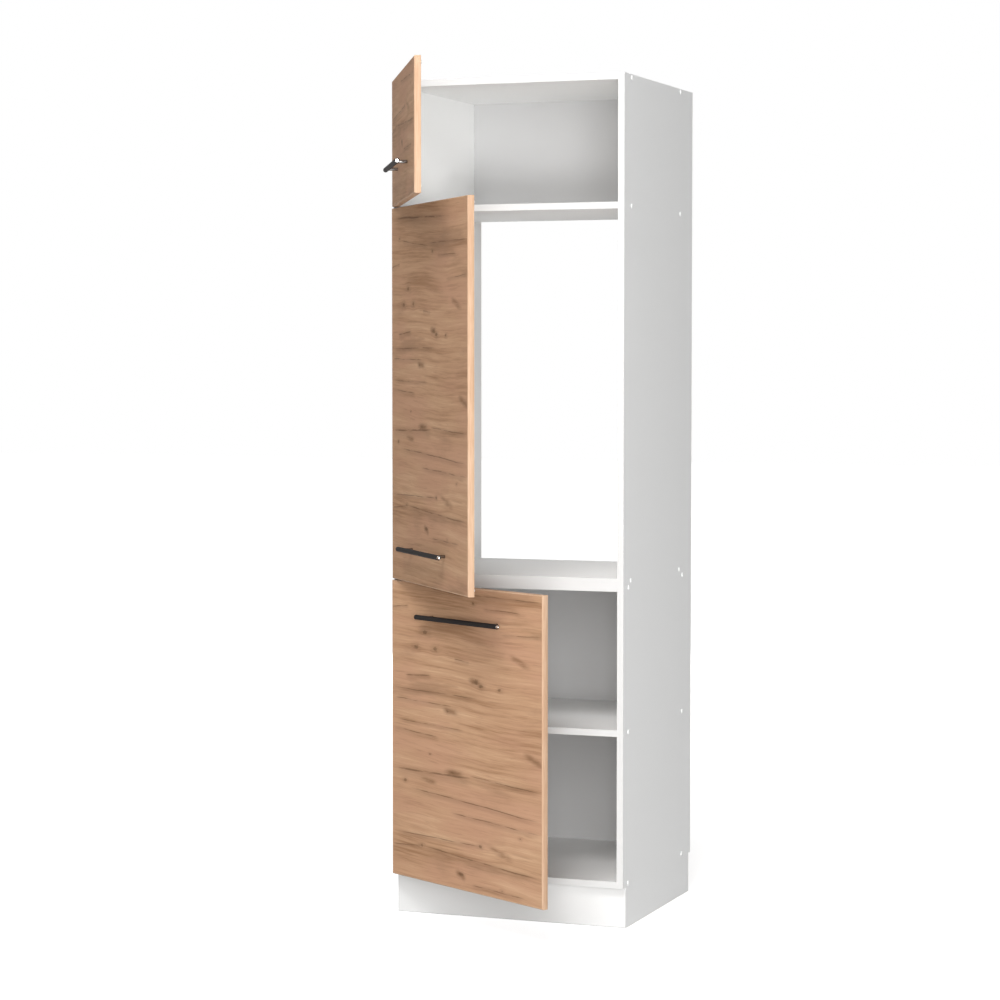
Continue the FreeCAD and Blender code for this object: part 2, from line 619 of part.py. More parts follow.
post_bolt_hole = rod("post_bolt_hole", "X", (f"-{fit}", "0", "0"), f"dims.handle_bolt_radius + {fit}",
                     f"dims.handle_bolt_in_post + 2 * {fit}")
post = cut("post", post_blank, [post_bolt_hole])
post_seat = rod("post_seat", "X", ("0", "0", "0"), f"dims.post_radius + {fit}", f"{post_length} + {fit}")
post_columns = (f"{handle_middle} - dims.handle_pitch / 2", f"{handle_middle} + dims.handle_pitch / 2")
post_spots = [((x, door_front, "0"), facing_front) for x in post_columns]
bar = cut("bar", bar_blank, [copies("disc_seats", disc_seat, disc_spots), copies("post_seats", post_seat, post_spots)])
handle_bolt_length = "(dims.door_thickness + dims.handle_bolt_in_post)"
handle_bolt = fuse("handle_bolt", [
    rod("handle_bolt_head", "X", ("-dims.handle_head_height", "0", "0"), "dims.handle_head_radius",
        "dims.handle_head_height"),
    rod("handle_bolt_shank", "X", ("0", "0", "0"), "dims.handle_bolt_radius", handle_bolt_length),
])
handle_bolt_hole = rod("handle_bolt_hole", "X", ("-1", "0", "0"), f"dims.handle_bolt_radius + {fit}",
                       "dims.door_thickness + 2")
bolt_columns = [((x, door_back, "0"), facing_front) for x in post_columns]

# Bumpers meet the front edge of the right side board
bumper_x = f"({half_width} - {board} / 2 - {pivot_x})"
bumper_height = "(dims.door_gap - dims.bumper_clearance)"
bumper = rod("bumper", "Y", ("0", "0", "0"), "dims.bumper_radius", bumper_height)

handle_levels = {
    "top_door": "{0} + dims.handle_margin".format(*door_ends["top_door"]),
    "fridge_door": "{0} + dims.handle_margin".format(*door_ends["fridge_door"]),
    "lower_door": "{1} - dims.handle_margin".format(*door_ends["lower_door"]),
}


def at_level(spots, level):
    return [((x, y, f"{level} + {z}"), turn) for (x, y, z), turn in spots]


def swing(door, name, obj):
    # Opens a door piece about its pivot axis, by the angle that the door stands open at
    place(obj, (pivot_x, depth(pivot_y), "0"), FreeCAD.Rotation(FreeCAD.Vector(0, 0, -1), 1))
    obj.setExpression("Placement.Rotation.Angle", f"dims.{door}_angle")
    node(f"{door}_{name}", obj)


for door, (low, high) in door_ends.items():
    levels = hinge_levels[door]
    handle_level = handle_levels[door]
    cup_spots = [(("0", "0", level), straight) for level in levels]
    screw_places = [spot for level in levels for spot in at_level(cup_screw_spots, level)]
    bolt_spots = at_level(bolt_columns, handle_level)
    bumper_spots = [((bumper_x, door_back, z), straight)
                    for z in (f"{low} + dims.bumper_margin", f"{high} - dims.bumper_margin")]

    core = box(f"{door}_core", (f"{door_left} + dims.door_edging", door_front, f"{low} + dims.door_edging"),
               (f"{door_width} - 2 * dims.door_edging", "dims.door_thickness",
                f"{high} - {low} - 2 * dims.door_edging"))
    swing(door, "panel", cut(f"{door}_panel", core, [
        copies(f"{door}_cup_bores", cup_bore, cup_spots),
        copies(f"{door}_screw_holes", wood_hole, screw_places),
        copies(f"{door}_bolt_holes", handle_bolt_hole, bolt_spots),
    ]))
    strips = [box(f"{door}_edge_{side}", (x, door_front, low),
                  ("dims.door_edging", "dims.door_thickness", f"{high} - {low}"))
              for side, x in (("hinge", door_left), ("free", f"{door_left} + {door_width} - dims.door_edging"))]
    strips += [box(f"{door}_edge_{side}", (f"{door_left} + dims.door_edging", door_front, z),
                   (f"{door_width} - 2 * dims.door_edging", "dims.door_thickness", "dims.door_edging"))
               for side, z in (("low", low), ("high", f"{high} - dims.door_edging"))]
    swing(door, "edging", group(f"{door}_edging", strips))
    swing(door, "hinge_cups", copies(f"{door}_hinge_cups", cup, cup_spots))
    swing(door, "hinge_pins", copies(f"{door}_hinge_pins", pin, cup_spots))
    swing(door, "cup_screws", copies(f"{door}_cup_screws", wood_screw, screw_places))
    swing(door, "handle_bar", copies(f"{door}_handle_bar", bar, [(("0", "0", handle_level), straight)]))
    swing(door, "handle_posts", copies(f"{door}_handle_posts", post, at_level(post_spots, handle_level)))
    swing(door, "handle_discs", copies(f"{door}_handle_discs", disc, at_level(disc_spots, handle_level)))
    swing(door, "handle_bolts", copies(f"{door}_handle_bolts", handle_bolt, bolt_spots))
    swing(door, "bumpers", copies(f"{door}_bumpers", bumper, bumper_spots))

doc.recompute()
failed = [obj.Name for obj in doc.Objects if "Invalid" in obj.State or "Error" in obj.State]
failed += [name for name, obj in nodes.items() if obj.Shape.isNull() or not obj.Shape.isValid()]
if failed:
    raise RuntimeError("these pieces failed: " + ", ".join(failed))

os.makedirs("parts", exist_ok=True)
for name, obj in nodes.items():
    obj.Shape.exportStep(f"parts/{name}.step")
    print(f"{name}: {len(obj.Shape.Solids)} solids, {obj.Shape.Volume / 1000:.1f} cm3")
print(len(nodes), "nodes")
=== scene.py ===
import json
from math import pi, radians

import bmesh
import bpy
from mathutils import Matrix, Vector


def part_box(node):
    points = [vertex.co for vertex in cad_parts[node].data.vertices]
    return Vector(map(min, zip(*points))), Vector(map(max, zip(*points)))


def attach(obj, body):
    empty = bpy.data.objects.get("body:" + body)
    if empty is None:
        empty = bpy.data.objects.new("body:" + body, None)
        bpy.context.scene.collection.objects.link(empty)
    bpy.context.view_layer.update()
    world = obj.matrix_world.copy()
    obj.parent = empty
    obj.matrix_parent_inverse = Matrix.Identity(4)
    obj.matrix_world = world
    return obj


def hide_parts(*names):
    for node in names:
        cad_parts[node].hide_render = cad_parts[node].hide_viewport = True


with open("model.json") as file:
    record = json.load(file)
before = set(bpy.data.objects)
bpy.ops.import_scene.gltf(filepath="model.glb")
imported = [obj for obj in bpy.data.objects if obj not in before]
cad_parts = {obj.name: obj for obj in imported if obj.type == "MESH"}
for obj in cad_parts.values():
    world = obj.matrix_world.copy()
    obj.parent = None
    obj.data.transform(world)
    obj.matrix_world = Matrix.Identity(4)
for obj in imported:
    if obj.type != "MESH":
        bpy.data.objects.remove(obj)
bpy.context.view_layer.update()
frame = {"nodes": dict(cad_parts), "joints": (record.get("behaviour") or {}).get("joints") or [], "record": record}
nodes = frame["nodes"]
mm = 0.001
near = 0.02 * mm  # places closer than this count as the same
slack = 0.1  # edges and corners this far short of a face, in mm, still count as on it
aligned = 0.99  # directions with a cosine over this count as along an axis
print("frame loaded:", len(nodes), "nodes")

# where each door hangs: its pivot axis, and the angle that it stands open at
doorPlace = {}
for joint in frame["joints"]:
    pivot = Vector((joint["pos_m"][0], joint["pos_m"][1], 0))
    openAngle = radians(-joint["range_deg"][0])
    doorPlace[joint["child"]] = Matrix.Translation(pivot) @ Matrix.Rotation(-openAngle, 4, "Z")
doors = list(doorPlace)


# shader helpers

def plug(tree, socket, value):
    # links a socket to another one, or gives it a plain value
    if isinstance(value, bpy.types.NodeSocket):
        tree.links.new(value, socket)
    else:
        socket.default_value = value


def addNode(tree, kind, inputs=None, **settings):
    node = tree.nodes.new("ShaderNode" + kind)
    for name, value in settings.items():
        setattr(node, name, value)
    for name, value in (inputs or {}).items():
        plug(tree, node.inputs[name], value)
    return node


def maths(tree, operation, first, second=0.0, third=0.0):
    return addNode(tree, "Math", {0: first, 1: second, 2: third}, operation=operation).outputs[0]


def average(tree, first, second):
    return maths(tree, "ADD", maths(tree, "MULTIPLY", first, 0.5), maths(tree, "MULTIPLY", second, 0.5))


def vectorMaths(tree, operation, first, second):
    return addNode(tree, "VectorMath", {0: first, 1: second}, operation=operation).outputs[0]


def dot(tree, first, second):
    return addNode(tree, "VectorMath", {0: first, 1: second}, operation="DOT_PRODUCT").outputs["Value"]


def length(tree, vector):
    return addNode(tree, "VectorMath", {0: vector}, operation="LENGTH").outputs["Value"]


def scaled(tree, vector, factor):
    return addNode(tree, "VectorMath", {0: vector, "Scale": factor}, operation="SCALE").outputs[0]


def ramp(tree, value, low, high, lowOut=0.0, highOut=1.0):
    return addNode(tree, "MapRange", {"Value": value, "From Min": low, "From Max": high,
                                      "To Min": lowOut, "To Max": highOut},
                   interpolation_type="SMOOTHSTEP").outputs["Result"]


def noise(tree, place, scale, detail, roughness):
    # scale is how often the pattern repeats in a metre, along each axis
    stretched = vectorMaths(tree, "MULTIPLY", place, scale)
    return addNode(tree, "TexNoise", {"Vector": stretched, "Scale": 1.0, "Detail": detail,
                                      "Roughness": roughness}).outputs["Fac"]


def mixColour(tree, share, first, second):
    node = addNode(tree, "Mix", data_type="RGBA", blend_type="MIX", clamp_factor=True)
    for socket, value in ((node.inputs[0], share), (node.inputs[6], first), (node.inputs[7], second)):
        plug(tree, socket, value)
    return node.outputs[2]


def colour(red, green, blue):
    # a colour as a paint program gives it, 0 to 255, made linear
    def linear(value):
        value /= 255
        return value / 12.92 if value <= 0.04045 else ((value + 0.055) / 1.055) ** 2.4
    return (linear(red), linear(green), linear(blue), 1.0)


def newGroup(name, inputs, outputs):
    group = bpy.data.node_groups.new(name, "ShaderNodeTree")
    for direction, sockets in (("INPUT", inputs), ("OUTPUT", outputs)):
        for socketName, kind in sockets:
            group.interface.new_socket(socketName, in_out=direction, socket_type="NodeSocket" + kind)
    entry = group.nodes.new("NodeGroupInput")
    leave = group.nodes.new("NodeGroupOutput")
    return group, entry.outputs, leave.inputs


def useGroup(tree, group, inputs):
    node = tree.nodes.new("ShaderNodeGroup")
    node.node_tree = group
    for name, value in inputs.items():
        plug(tree, node.inputs[name], value)
    return node.outputs


def newMaterial(name):
    material = bpy.data.materials.new(name)
    material.use_nodes = True
    tree = material.node_tree
    shader = tree.nodes["Principled BSDF"]
    place = addNode(tree, "TexCoord").outputs["Object"]
    return material, tree, shader, place


def feed(tree, shader, **sockets):
    names = {"base": "Base Color", "roughness": "Roughness", "metallic": "Metallic", "normal": "Normal",
             "specular": "Specular IOR Level"}
    for key, value in sockets.items():
        plug(tree, shader.inputs[names[key]], value)


def bump(tree, height, distance):
    return addNode(tree, "Bump", {"Height": height, "Distance": distance, "Strength": 1.0}).outputs[0]


# shared effect: a fine surface that varies a little in tone, gloss and height
speckle, speckleIn, speckleOut = newGroup(
    "surfaceSpeckle",
    [("Place", "Vector"), ("Grain", "Float"), ("Patches", "Float"), ("Colour", "Color"),
     ("Colour Shift", "Float"), ("Roughness", "Float"), ("Roughness Shift", "Float")],
    [("Colour", "Color"), ("Roughness", "Float"), ("Height", "Float")])


def speckleNoise(repeats, detail):
    where = scaled(speckle, speckleIn["Place"], speckleIn[repeats])
    return addNode(speckle, "TexNoise", {"Vector": where, "Scale": 1.0, "Detail": detail}).outputs["Fac"]


noiseMean = 0.5
fineTone = speckleNoise("Grain", detail=2.0)
broadTone = speckleNoise("Patches", detail=3.0)
centred = maths(speckle, "SUBTRACT", average(speckle, fineTone, broadTone), noiseMean)
gain = maths(speckle, "MULTIPLY_ADD", centred, speckleIn["Colour Shift"], 1.0)
speckle.links.new(scaled(speckle, speckleIn["Colour"], gain), speckleOut["Colour"])
speckle.links.new(maths(speckle, "MULTIPLY_ADD", centred, speckleIn["Roughness Shift"],
                        speckleIn["Roughness"]), speckleOut["Roughness"])
speckle.links.new(fineTone, speckleOut["Height"])


def useSpeckle(tree, place, look):
    return useGroup(tree, speckle, {
        "Place": place, "Grain": look["grain"], "Patches": look["patches"], "Colour": look["colour"],
        "Colour Shift": look["colourShift"], "Roughness": look["roughness"],
        "Roughness Shift": look["roughnessShift"]})


def speckledMaterial(name, look):
    material, tree, shader, place = newMaterial(name)
    out = useSpeckle(tree, place, look)
    feed(tree, shader, base=out["Colour"], roughness=out["Roughness"], metallic=look.get("metallic", 0.0),
         specular=look.get("specular", 0.5), normal=bump(tree, out["Height"], look["relief"]))
    return material


# finishes of the small pieces
finishes = {
    # the edge bands are a darker white than the boards: painted shade that tones down the strong light on the
    # front edges
    "white_edge": {"colour": colour(214, 214, 213), "colourShift": 0.03, "grain": 900, "patches": 9,
                   "roughness": 0.52, "roughnessShift": 0.10, "relief": 0.00003, "specular": 0.12},
    "white_cap": {"colour": colour(243, 243, 242), "colourShift": 0.04, "grain": 1400, "patches": 60,
                  "roughness": 0.34, "roughnessShift": 0.12, "relief": 0.00002},
    "dowel_wood": {"colour": colour(222, 190, 146), "colourShift": 0.25, "grain": 700, "patches": 40,
                   "roughness": 0.7, "roughnessShift": 0.1, "relief": 0.00008},
    "hinge_steel": {"colour": colour(196, 194, 190), "colourShift": 0.10, "grain": 1500, "patches": 25,
                    "roughness": 0.26, "roughnessShift": 0.16, "relief": 0.00002, "metallic": 1.0},
    "zinc_steel": {"colour": colour(190, 191, 190), "colourShift": 0.22, "grain": 800, "patches": 70,
                   "roughness": 0.36, "roughnessShift": 0.25, "relief": 0.00003, "metallic": 1.0},
    "dark_metal": {"colour": colour(48, 45, 44), "colourShift": 0.25, "grain": 1800, "patches": 30,
                   "roughness": 0.58, "roughnessShift": 0.14, "relief": 0.00002, "specular": 0.025},
    # the posts' chrome is darkened: painted shade that stands in for the dark surroundings a chrome would mirror
    "chrome": {"colour": colour(138, 136, 135), "colourShift": 0.03, "grain": 600, "patches": 30,
               "roughness": 0.09, "roughnessShift": 0.06, "relief": 0.000005, "metallic": 1.0},
    # the end discs are a brighter copy of the same chrome, lit to give them a bright painted highlight
    "chrome_disc": {"colour": colour(206, 205, 203), "colourShift": 0.03, "grain": 600, "patches": 30,
                    "roughness": 0.14, "roughnessShift": 0.06, "relief": 0.000005, "metallic": 1.0},
    "clear_rubber": {"colour": colour(226, 225, 219), "colourShift": 0.05, "grain": 900, "patches": 50,
                     "roughness": 0.32, "roughnessShift": 0.08, "relief": 0.00002},
}
materials = {slot: speckledMaterial(slot, look) for slot, look in finishes.items()}

# white melamine board: faint orange-peel face, and raw chipboard on the edges that nothing covers
melamine = {"colour": colour(248, 248, 247), "colourShift": 0.025, "grain": 520, "patches": 6.0,
            "roughness": 0.54, "roughnessShift": 0.12, "relief": 0.00006, "specular": 0.10,
            "chipPale": colour(214, 184, 140), "chipDark": colour(150, 112, 74), "chips": 420.0,
            "rawRoughness": 0.4, "rearEdge": 0.5236, "notchEdge": 0.5088, "notchTop": 0.0995,
            "footEdge": 0.0004}
# the plinth's front is a darker white than the boards: painted shade that tones down the strong light on it, while
# its ends keep the boards' white
plinthPaintedShadeLook = {**melamine, "colour": colour(223, 223, 222), "end": 0.2996}


def boardMaterial(name, look=melamine, rawRear=False, rawFoot=False):
    material, tree, shader, place = newMaterial(name)
    axes = addNode(tree, "SeparateXYZ", {0: place}).outputs
    out = useSpeckle(tree, place, look)
    base = out["Colour"]
    roughness = out["Roughness"]
    # a look with an end, the plinth's, gives the ends the boards' white and leaves its painted shade on the front
    if "end" in look:
        atEnd = maths(tree, "GREATER_THAN", maths(tree, "ABSOLUTE", axes["X"]), look["end"])
        base = mixColour(tree, atEnd, base, melamine["colour"])
    if rawRear:
        raw = maths(tree, "GREATER_THAN", axes["Y"], look["rearEdge"])
        if rawFoot:
            inNotch = maths(tree, "MULTIPLY", maths(tree, "GREATER_THAN", axes["Y"], look["notchEdge"]),
                            maths(tree, "LESS_THAN", axes["Z"], look["notchTop"]))
            raw = maths(tree, "MAXIMUM", raw, inNotch)
            raw = maths(tree, "MAXIMUM", raw, maths(tree, "LESS_THAN", axes["Z"], look["footEdge"]))
        chips = addNode(tree, "TexVoronoi", {"Vector": place, "Scale": look["chips"]}).outputs["Color"]
        chipTone = addNode(tree, "SeparateColor", {0: chips}).outputs["Red"]
        chipColour = mixColour(tree, chipTone, look["chipDark"], look["chipPale"])
        base = mixColour(tree, raw, base, chipColour)
        roughness = maths(tree, "MULTIPLY_ADD", raw, look["rawRoughness"], roughness)
    feed(tree, shader, base=base, roughness=roughness, specular=look["specular"],
         normal=bump(tree, out["Height"], look["relief"]))
    return material


boardLooks = {"plain": boardMaterial("white_board"),
              "plinth": boardMaterial("white_board_plinth", plinthPaintedShadeLook),
              "rawRear": boardMaterial("white_board_raw_rear", rawRear=True),
              "rawFoot": boardMaterial("white_board_raw_foot", rawRear=True, rawFoot=True)}

# fibreboard backs: a white face to the inside, painted light grey as painted shade for the dim inside of the
# cupboard, and bare brown fibre to the wall
fibreboard = {"colour": colour(203, 203, 203), "colourShift": 0.03, "grain": 700.0, "patches": 5.0,
              "roughness": 0.5, "roughnessShift": 0.1, "relief": 0.00005, "specular": 0.2,
              "pale": colour(206, 173, 132), "dark": colour(166, 131, 94), "faceDepth": 0.0012,
              # repeats in a metre, detail and roughness of the fibre pattern, and its ramp from dark to pale
              "fibres": ((260, 260, 140), 5, 0.7), "fibreRamp": (0.35, 0.68), "rearRoughness": 0.3}


def backMaterial(name, faceY):
    material, tree, shader, place = newMaterial(name)
    out = useSpeckle(tree, place, fibreboard)
    depth = addNode(tree, "SeparateXYZ", {0: place}).outputs["Y"]
    rear = maths(tree, "GREATER_THAN", depth, faceY + fibreboard["faceDepth"])
    fibres = noise(tree, place, *fibreboard["fibres"])
    paleShare = ramp(tree, fibres, *fibreboard["fibreRamp"])
    brown = mixColour(tree, paleShare, fibreboard["dark"], fibreboard["pale"])
    # the inside face takes the look's light grey, which is painted shade, and the rear takes the brown fibre
    feed(tree, shader, base=mixColour(tree, rear, out["Colour"], brown),
         roughness=maths(tree, "MULTIPLY_ADD", rear, fibreboard["rearRoughness"], out["Roughness"]),
         specular=fibreboard["specular"], normal=bump(tree, out["Height"], fibreboard["relief"]))
    return material


# oak decor: grain across the door, with cracks and knots where the pattern has them
# a crack or smudge is start x, start z, end x, end z, width, and a knot is x, z, size, in mm on the pattern
oak = {
    "light": colour(208, 171, 138), "middle": colour(189, 150, 118), "dark": colour(157, 119, 89),
    "pink": colour(191, 147, 120), "smoke": colour(147, 115, 89), "dash": colour(134, 100, 74),
    "crack": colour(98, 71, 51), "knot": colour(90, 66, 47),
    "cracks": [
        (-12, 770, 66, 778, 2.2), (355, 789, 512, 787, 2.0), (66, 834, 295, 812, 2.6),
        (425, 731, 592, 739, 2.0), (246, 661, 312, 657, 2.0), (46, 605, 160, 613, 3.0),
        (-2, 571, 350, 572, 2.6), (-12, 547, 250, 543, 2.6), (10, 493, 296, 489, 2.2),
        (-10, 472, 196, 462, 2.6), (-12, 369, 322, 376, 5.0), (300, 382, 592, 373, 2.4),
        (52, 328, 592, 304, 3.0), (225, 285, 592, 274, 2.8), (-8, 212, 362, 218, 2.4),
        (-8, 178, 122, 189, 2.2), (112, 189, 592, 170, 3.2), (306, 121, 530, 118, 2.4),
        (-8, -4, 590, 5, 3.0), (5, 891, 456, 876, 5.0), (292, 819, 592, 818, 2.2),
    ],
    "smudges": [
        (455, 689, 552, 659, 12), (510, 461, 604, 433, 13), (196, 535, 270, 528, 10),
        (372, 222, 488, 200, 12), (200, 379, 292, 385, 13), (104, 354, 186, 350, 9),
        (300, 618, 372, 598, 14), (250, 150, 300, 128, 11),
    ],
    "knots": [
        (133, 718, 6.5), (92, 677, 5.5), (173, 677, 5.5), (336, 613, 6), (356, 603, 5), (427, 600, 3.5),
        (150, 418, 2.5), (48, 344, 3.5), (118, 189, 3.5), (352, 217, 3.5), (274, 141, 4.5), (437, 122, 3),
        (506, 257, 2.5), (61, 838, 3.5), (326, 799, 3), (223, 531, 3.5), (243, 382, 4),
    ],
    # repeats in a metre along each axis, then detail and roughness
    "noise": {"wander": ((7, 0, 4), 4, 0.55), "gaps": ((14, 0, 60), 3, 0.55),
              "ragged": ((55, 0, 110), 3, 0.55), "drift": ((1.5, 0, 3.0), 2, 0.55),
              "tone": ((1.2, 0, 9), 3, 0.5), "bands": ((2.0, 0, 38), 3, 0.55),
              "streaks": ((5.0, 0, 150), 3, 0.6), "fibre": ((14, 0, 480), 2, 0.6),
              "dashes": ((7, 0, 125), 2, 0.5), "pores": ((24, 0, 360), 2, 0.5),
              "blush": ((1.9, 0, 8.0), 3, 0.55), "smoke": ((3.2, 0, 15), 4, 0.6),
              "pressed": ((20, 0, 300), 3, 0.6)},
    # a factor and a constant that bring a pattern to its range
    "ranges": {"wander": (0.008, -0.004), "ragged": (3.6, -1.75), "drift": (0.05, -0.025),
               "roughness": (0.16, 0.60)},
    # where a pattern starts to count and where it is full, and what it gives there if not 0 and 1
    "ramps": {"gaps": (0.34, 0.56, 0.30, 1.0), "dashes": (0.60, 0.72), "pores": (0.60, 0.72),
              "middle": (0.38, 0.51), "light": (0.49, 0.62), "blush": (0.42, 0.62, 0.0, 0.6),
              "smoke": (0.52, 0.72, 0.0, 0.5), "pressed": (0.35, 0.60)},
    # how much each layer counts in the tone of the wood
    "weights": {"tone": 0.30, "bands": 0.30, "streaks": 0.26, "fibre": 0.14},
    # how strongly each mark covers the wood
    "cover": {"smudges": 0.84, "dashes": 0.26, "pores": 0.16, "cracks": 0.76, "knots": 0.60},
    "crackShade": 0.30, "crackFade": 0.16, "smudgeShade": 0.0, "smudgeFade": 0.36,
    "slope": 0.022, "specular": 0.12, "relief": 0.00012,
}
upward = (0, 0, 1)  # heights come from dot products, which use less of the shader's memory than Separate XYZ

crack, crackIn, crackOut = newGroup(
    "oakCrack",
    [("Place", "Vector"), ("Wander", "Float"), ("Gaps", "Float"), ("Others", "Float"),
     ("Start", "Vector"), ("End", "Vector"), ("Width", "Float"), ("Shade", "Float"), ("Fade", "Float")],
    [("Mask", "Float")])
shadeSpread = 4.5
along = vectorMaths(crack, "SUBTRACT", crackIn["Place"], crackIn["Start"])
run = vectorMaths(crack, "SUBTRACT", crackIn["End"], crackIn["Start"])
share = maths(crack, "DIVIDE", dot(crack, along, run), dot(crack, run, run))
straight = maths(crack, "SUBTRACT", dot(crack, along, upward),
                 maths(crack, "MULTIPLY", share, dot(crack, run, upward)))
aside = maths(crack, "ADD", straight, crackIn["Wander"])
lineMask = ramp(crack, maths(crack, "ABSOLUTE", aside), crackIn["Width"], 0.0)
shadeWidth = maths(crack, "MULTIPLY", crackIn["Width"], shadeSpread)
above = maths(crack, "ABSOLUTE", maths(crack, "ADD", aside, crackIn["Width"]))
shadeMask = ramp(crack, above, shadeWidth, 0.0)
ends = maths(crack, "MULTIPLY", ramp(crack, share, 0.0, crackIn["Fade"]),
             ramp(crack, share, 1.0, maths(crack, "SUBTRACT", 1.0, crackIn["Fade"])))
marks = maths(crack, "MAXIMUM", maths(crack, "MULTIPLY", lineMask, crackIn["Gaps"]),
              maths(crack, "MULTIPLY", shadeMask, crackIn["Shade"]))
faded = maths(crack, "MULTIPLY", marks, ends)
crack.links.new(maths(crack, "MAXIMUM", faded, crackIn["Others"]), crackOut["Mask"])

knot, knotIn, knotOut = newGroup(
    "oakKnot",
    [("Place", "Vector"), ("Ragged", "Float"), ("Other Knots", "Float"), ("Other Lift", "Float"),
     ("Centre", "Vector"), ("Size", "Float")],
    [("Mask", "Float"), ("Lift", "Float")])
# reaches are in knot sizes, from where the mark starts to where it is full
knotForm = {"oval": (0.55, 0.0, 1.0), "core": (1.45, 0.35), "halo": (4.0, 0.6), "shadow": (3.2, 0.8),
            "shadowShare": 0.26, "lift": -0.45}
offset = vectorMaths(knot, "SUBTRACT", knotIn["Place"], knotIn["Centre"])
offsetUp = dot(knot, offset, upward)
oval = vectorMaths(knot, "MULTIPLY", offset, knotForm["oval"])
sizes = maths(knot, "DIVIDE", length(knot, oval), knotIn["Size"])
ragged = maths(knot, "ADD", sizes, knotIn["Ragged"])
core = ramp(knot, ragged, *knotForm["core"])
halo = ramp(knot, sizes, *knotForm["halo"])
shadow = maths(knot, "MULTIPLY", ramp(knot, ragged, *knotForm["shadow"]), knotForm["shadowShare"])
knotMarks = maths(knot, "MAXIMUM", core, shadow)
knot.links.new(maths(knot, "MAXIMUM", knotMarks, knotIn["Other Knots"]), knotOut["Mask"])
knotLift = maths(knot, "MULTIPLY", maths(knot, "MULTIPLY", halo, offsetUp), knotForm["lift"])
knot.links.new(maths(knot, "ADD", knotLift, knotIn["Other Lift"]), knotOut["Lift"])

grain, grainIn, grainOut = newGroup(
    "oakGrain", [("Place", "Vector")], [("Colour", "Color"), ("Roughness", "Float"), ("Height", "Float")])
place = grainIn["Place"]


def oakNoise(name, where):
    return noise(grain, where, *oak["noise"][name])


def oakRange(name, value):
    return maths(grain, "MULTIPLY_ADD", value, *oak["ranges"][name])


def oakRamp(name, value):
    return ramp(grain, value, *oak["ramps"][name])


wander = oakRange("wander", oakNoise("wander", place))
gaps = oakRamp("gaps", oakNoise("gaps", place))


def lineMarks(lines, shade, fade):
    mask = 0.0
    for startX, startZ, endX, endZ, width in lines:
        mask = useGroup(grain, crack, {
            "Place": place, "Wander": wander, "Gaps": gaps, "Others": mask,
            "Start": (startX * mm, 0, startZ * mm), "End": (endX * mm, 0, endZ * mm),
            "Width": width * mm, "Shade": shade, "Fade": fade})["Mask"]
    return mask


crackMask = lineMarks(oak["cracks"], oak["crackShade"], oak["crackFade"])
smudgeMask = lineMarks(oak["smudges"], oak["smudgeShade"], oak["smudgeFade"])
raggedness = oakRange("ragged", oakNoise("ragged", place))
knotMask = 0.0
lift = 0.0
for x, z, size in oak["knots"]:
    out = useGroup(grain, knot, {
        "Place": place, "Ragged": raggedness, "Other Knots": knotMask, "Other Lift": lift,
        "Centre": (x * mm, 0, z * mm), "Size": size * mm})
    knotMask = out["Mask"]
    lift = out["Lift"]
drift = oakRange("drift", oakNoise("drift", place))
slope = maths(grain, "MULTIPLY", dot(grain, place, (1, 0, 0)), oak["slope"])
climb = maths(grain, "ADD", maths(grain, "ADD", lift, drift), slope)
rise = addNode(grain, "CombineXYZ", {"Z": climb}).outputs[0]
bent = vectorMaths(grain, "ADD", place, rise)
layers = {name: oakNoise(name, bent) for name in oak["weights"]}
dashes = oakRamp("dashes", oakNoise("dashes", bent))
pores = oakRamp("pores", oakNoise("pores", bent))
weight = 0.0
for name, layerShare in oak["weights"].items():
    weight = maths(grain, "MULTIPLY_ADD", layers[name], layerShare, weight)
shade = mixColour(grain, oakRamp("middle", weight), oak["dark"], oak["middle"])
shade = mixColour(grain, oakRamp("light", weight), shade, oak["light"])
shade = mixColour(grain, oakRamp("blush", oakNoise("blush", bent)), shade, oak["pink"])
shade = mixColour(grain, oakRamp("smoke", oakNoise("smoke", bent)), shade, oak["smoke"])
for mark, mask, tint in (("smudges", smudgeMask, "dash"), ("dashes", dashes, "dash"),
                         ("pores", pores, "crack"), ("cracks", crackMask, "crack"),
                         ("knots", knotMask, "knot")):
    shade = mixColour(grain, maths(grain, "MULTIPLY", mask, oak["cover"][mark]), shade, oak[tint])
grain.links.new(shade, grainOut["Colour"])
grain.links.new(oakRange("roughness", layers["fibre"]), grainOut["Roughness"])
# the pressed-in pores run straight along the grain and don't follow the print
grain.links.new(oakRamp("pressed", oakNoise("pressed", place)), grainOut["Height"])

# how far up each door the printed pattern starts
patternFoot = {"top_door": 1.756, "fridge_door": 0.838, "lower_door": 0.0}


def doorCoordinates(tree, place, door, foot):
    # turns the open door back to shut, with the pivot axis as origin
    back = doorPlace[door].inverted()
    turned = addNode(tree, "Mapping", {
        "Vector": place, "Location": tuple(back.translation - Vector((0, 0, foot))),
        "Rotation": (0, 0, back.to_euler().z)}).outputs[0]
    return vectorMaths(tree, "MULTIPLY", turned, (1, 0, 1))


def oakMaterial(door):
    material, tree, shader, place = newMaterial(f"oak_decor_{door}")
    out = useGroup(tree, grain, {"Place": doorCoordinates(tree, place, door, patternFoot[door])})
    feed(tree, shader, base=out["Colour"], roughness=out["Roughness"], specular=oak["specular"],
         normal=bump(tree, out["Height"], oak["relief"]))
    return material


# pale edge band: a lighter print of the same oak
edgeBand = {"light": colour(203, 171, 144), "dark": colour(190, 155, 127), "lightRamp": (0.40, 0.62),
            "stripes": ((420, 420, 22), 3, 0.6), "clouds": ((30, 30, 5), 2, 0.55),
            "roughnessRamp": (0.2, 0.8, 0.52, 0.64), "specular": 0.05, "relief": 0.00004}


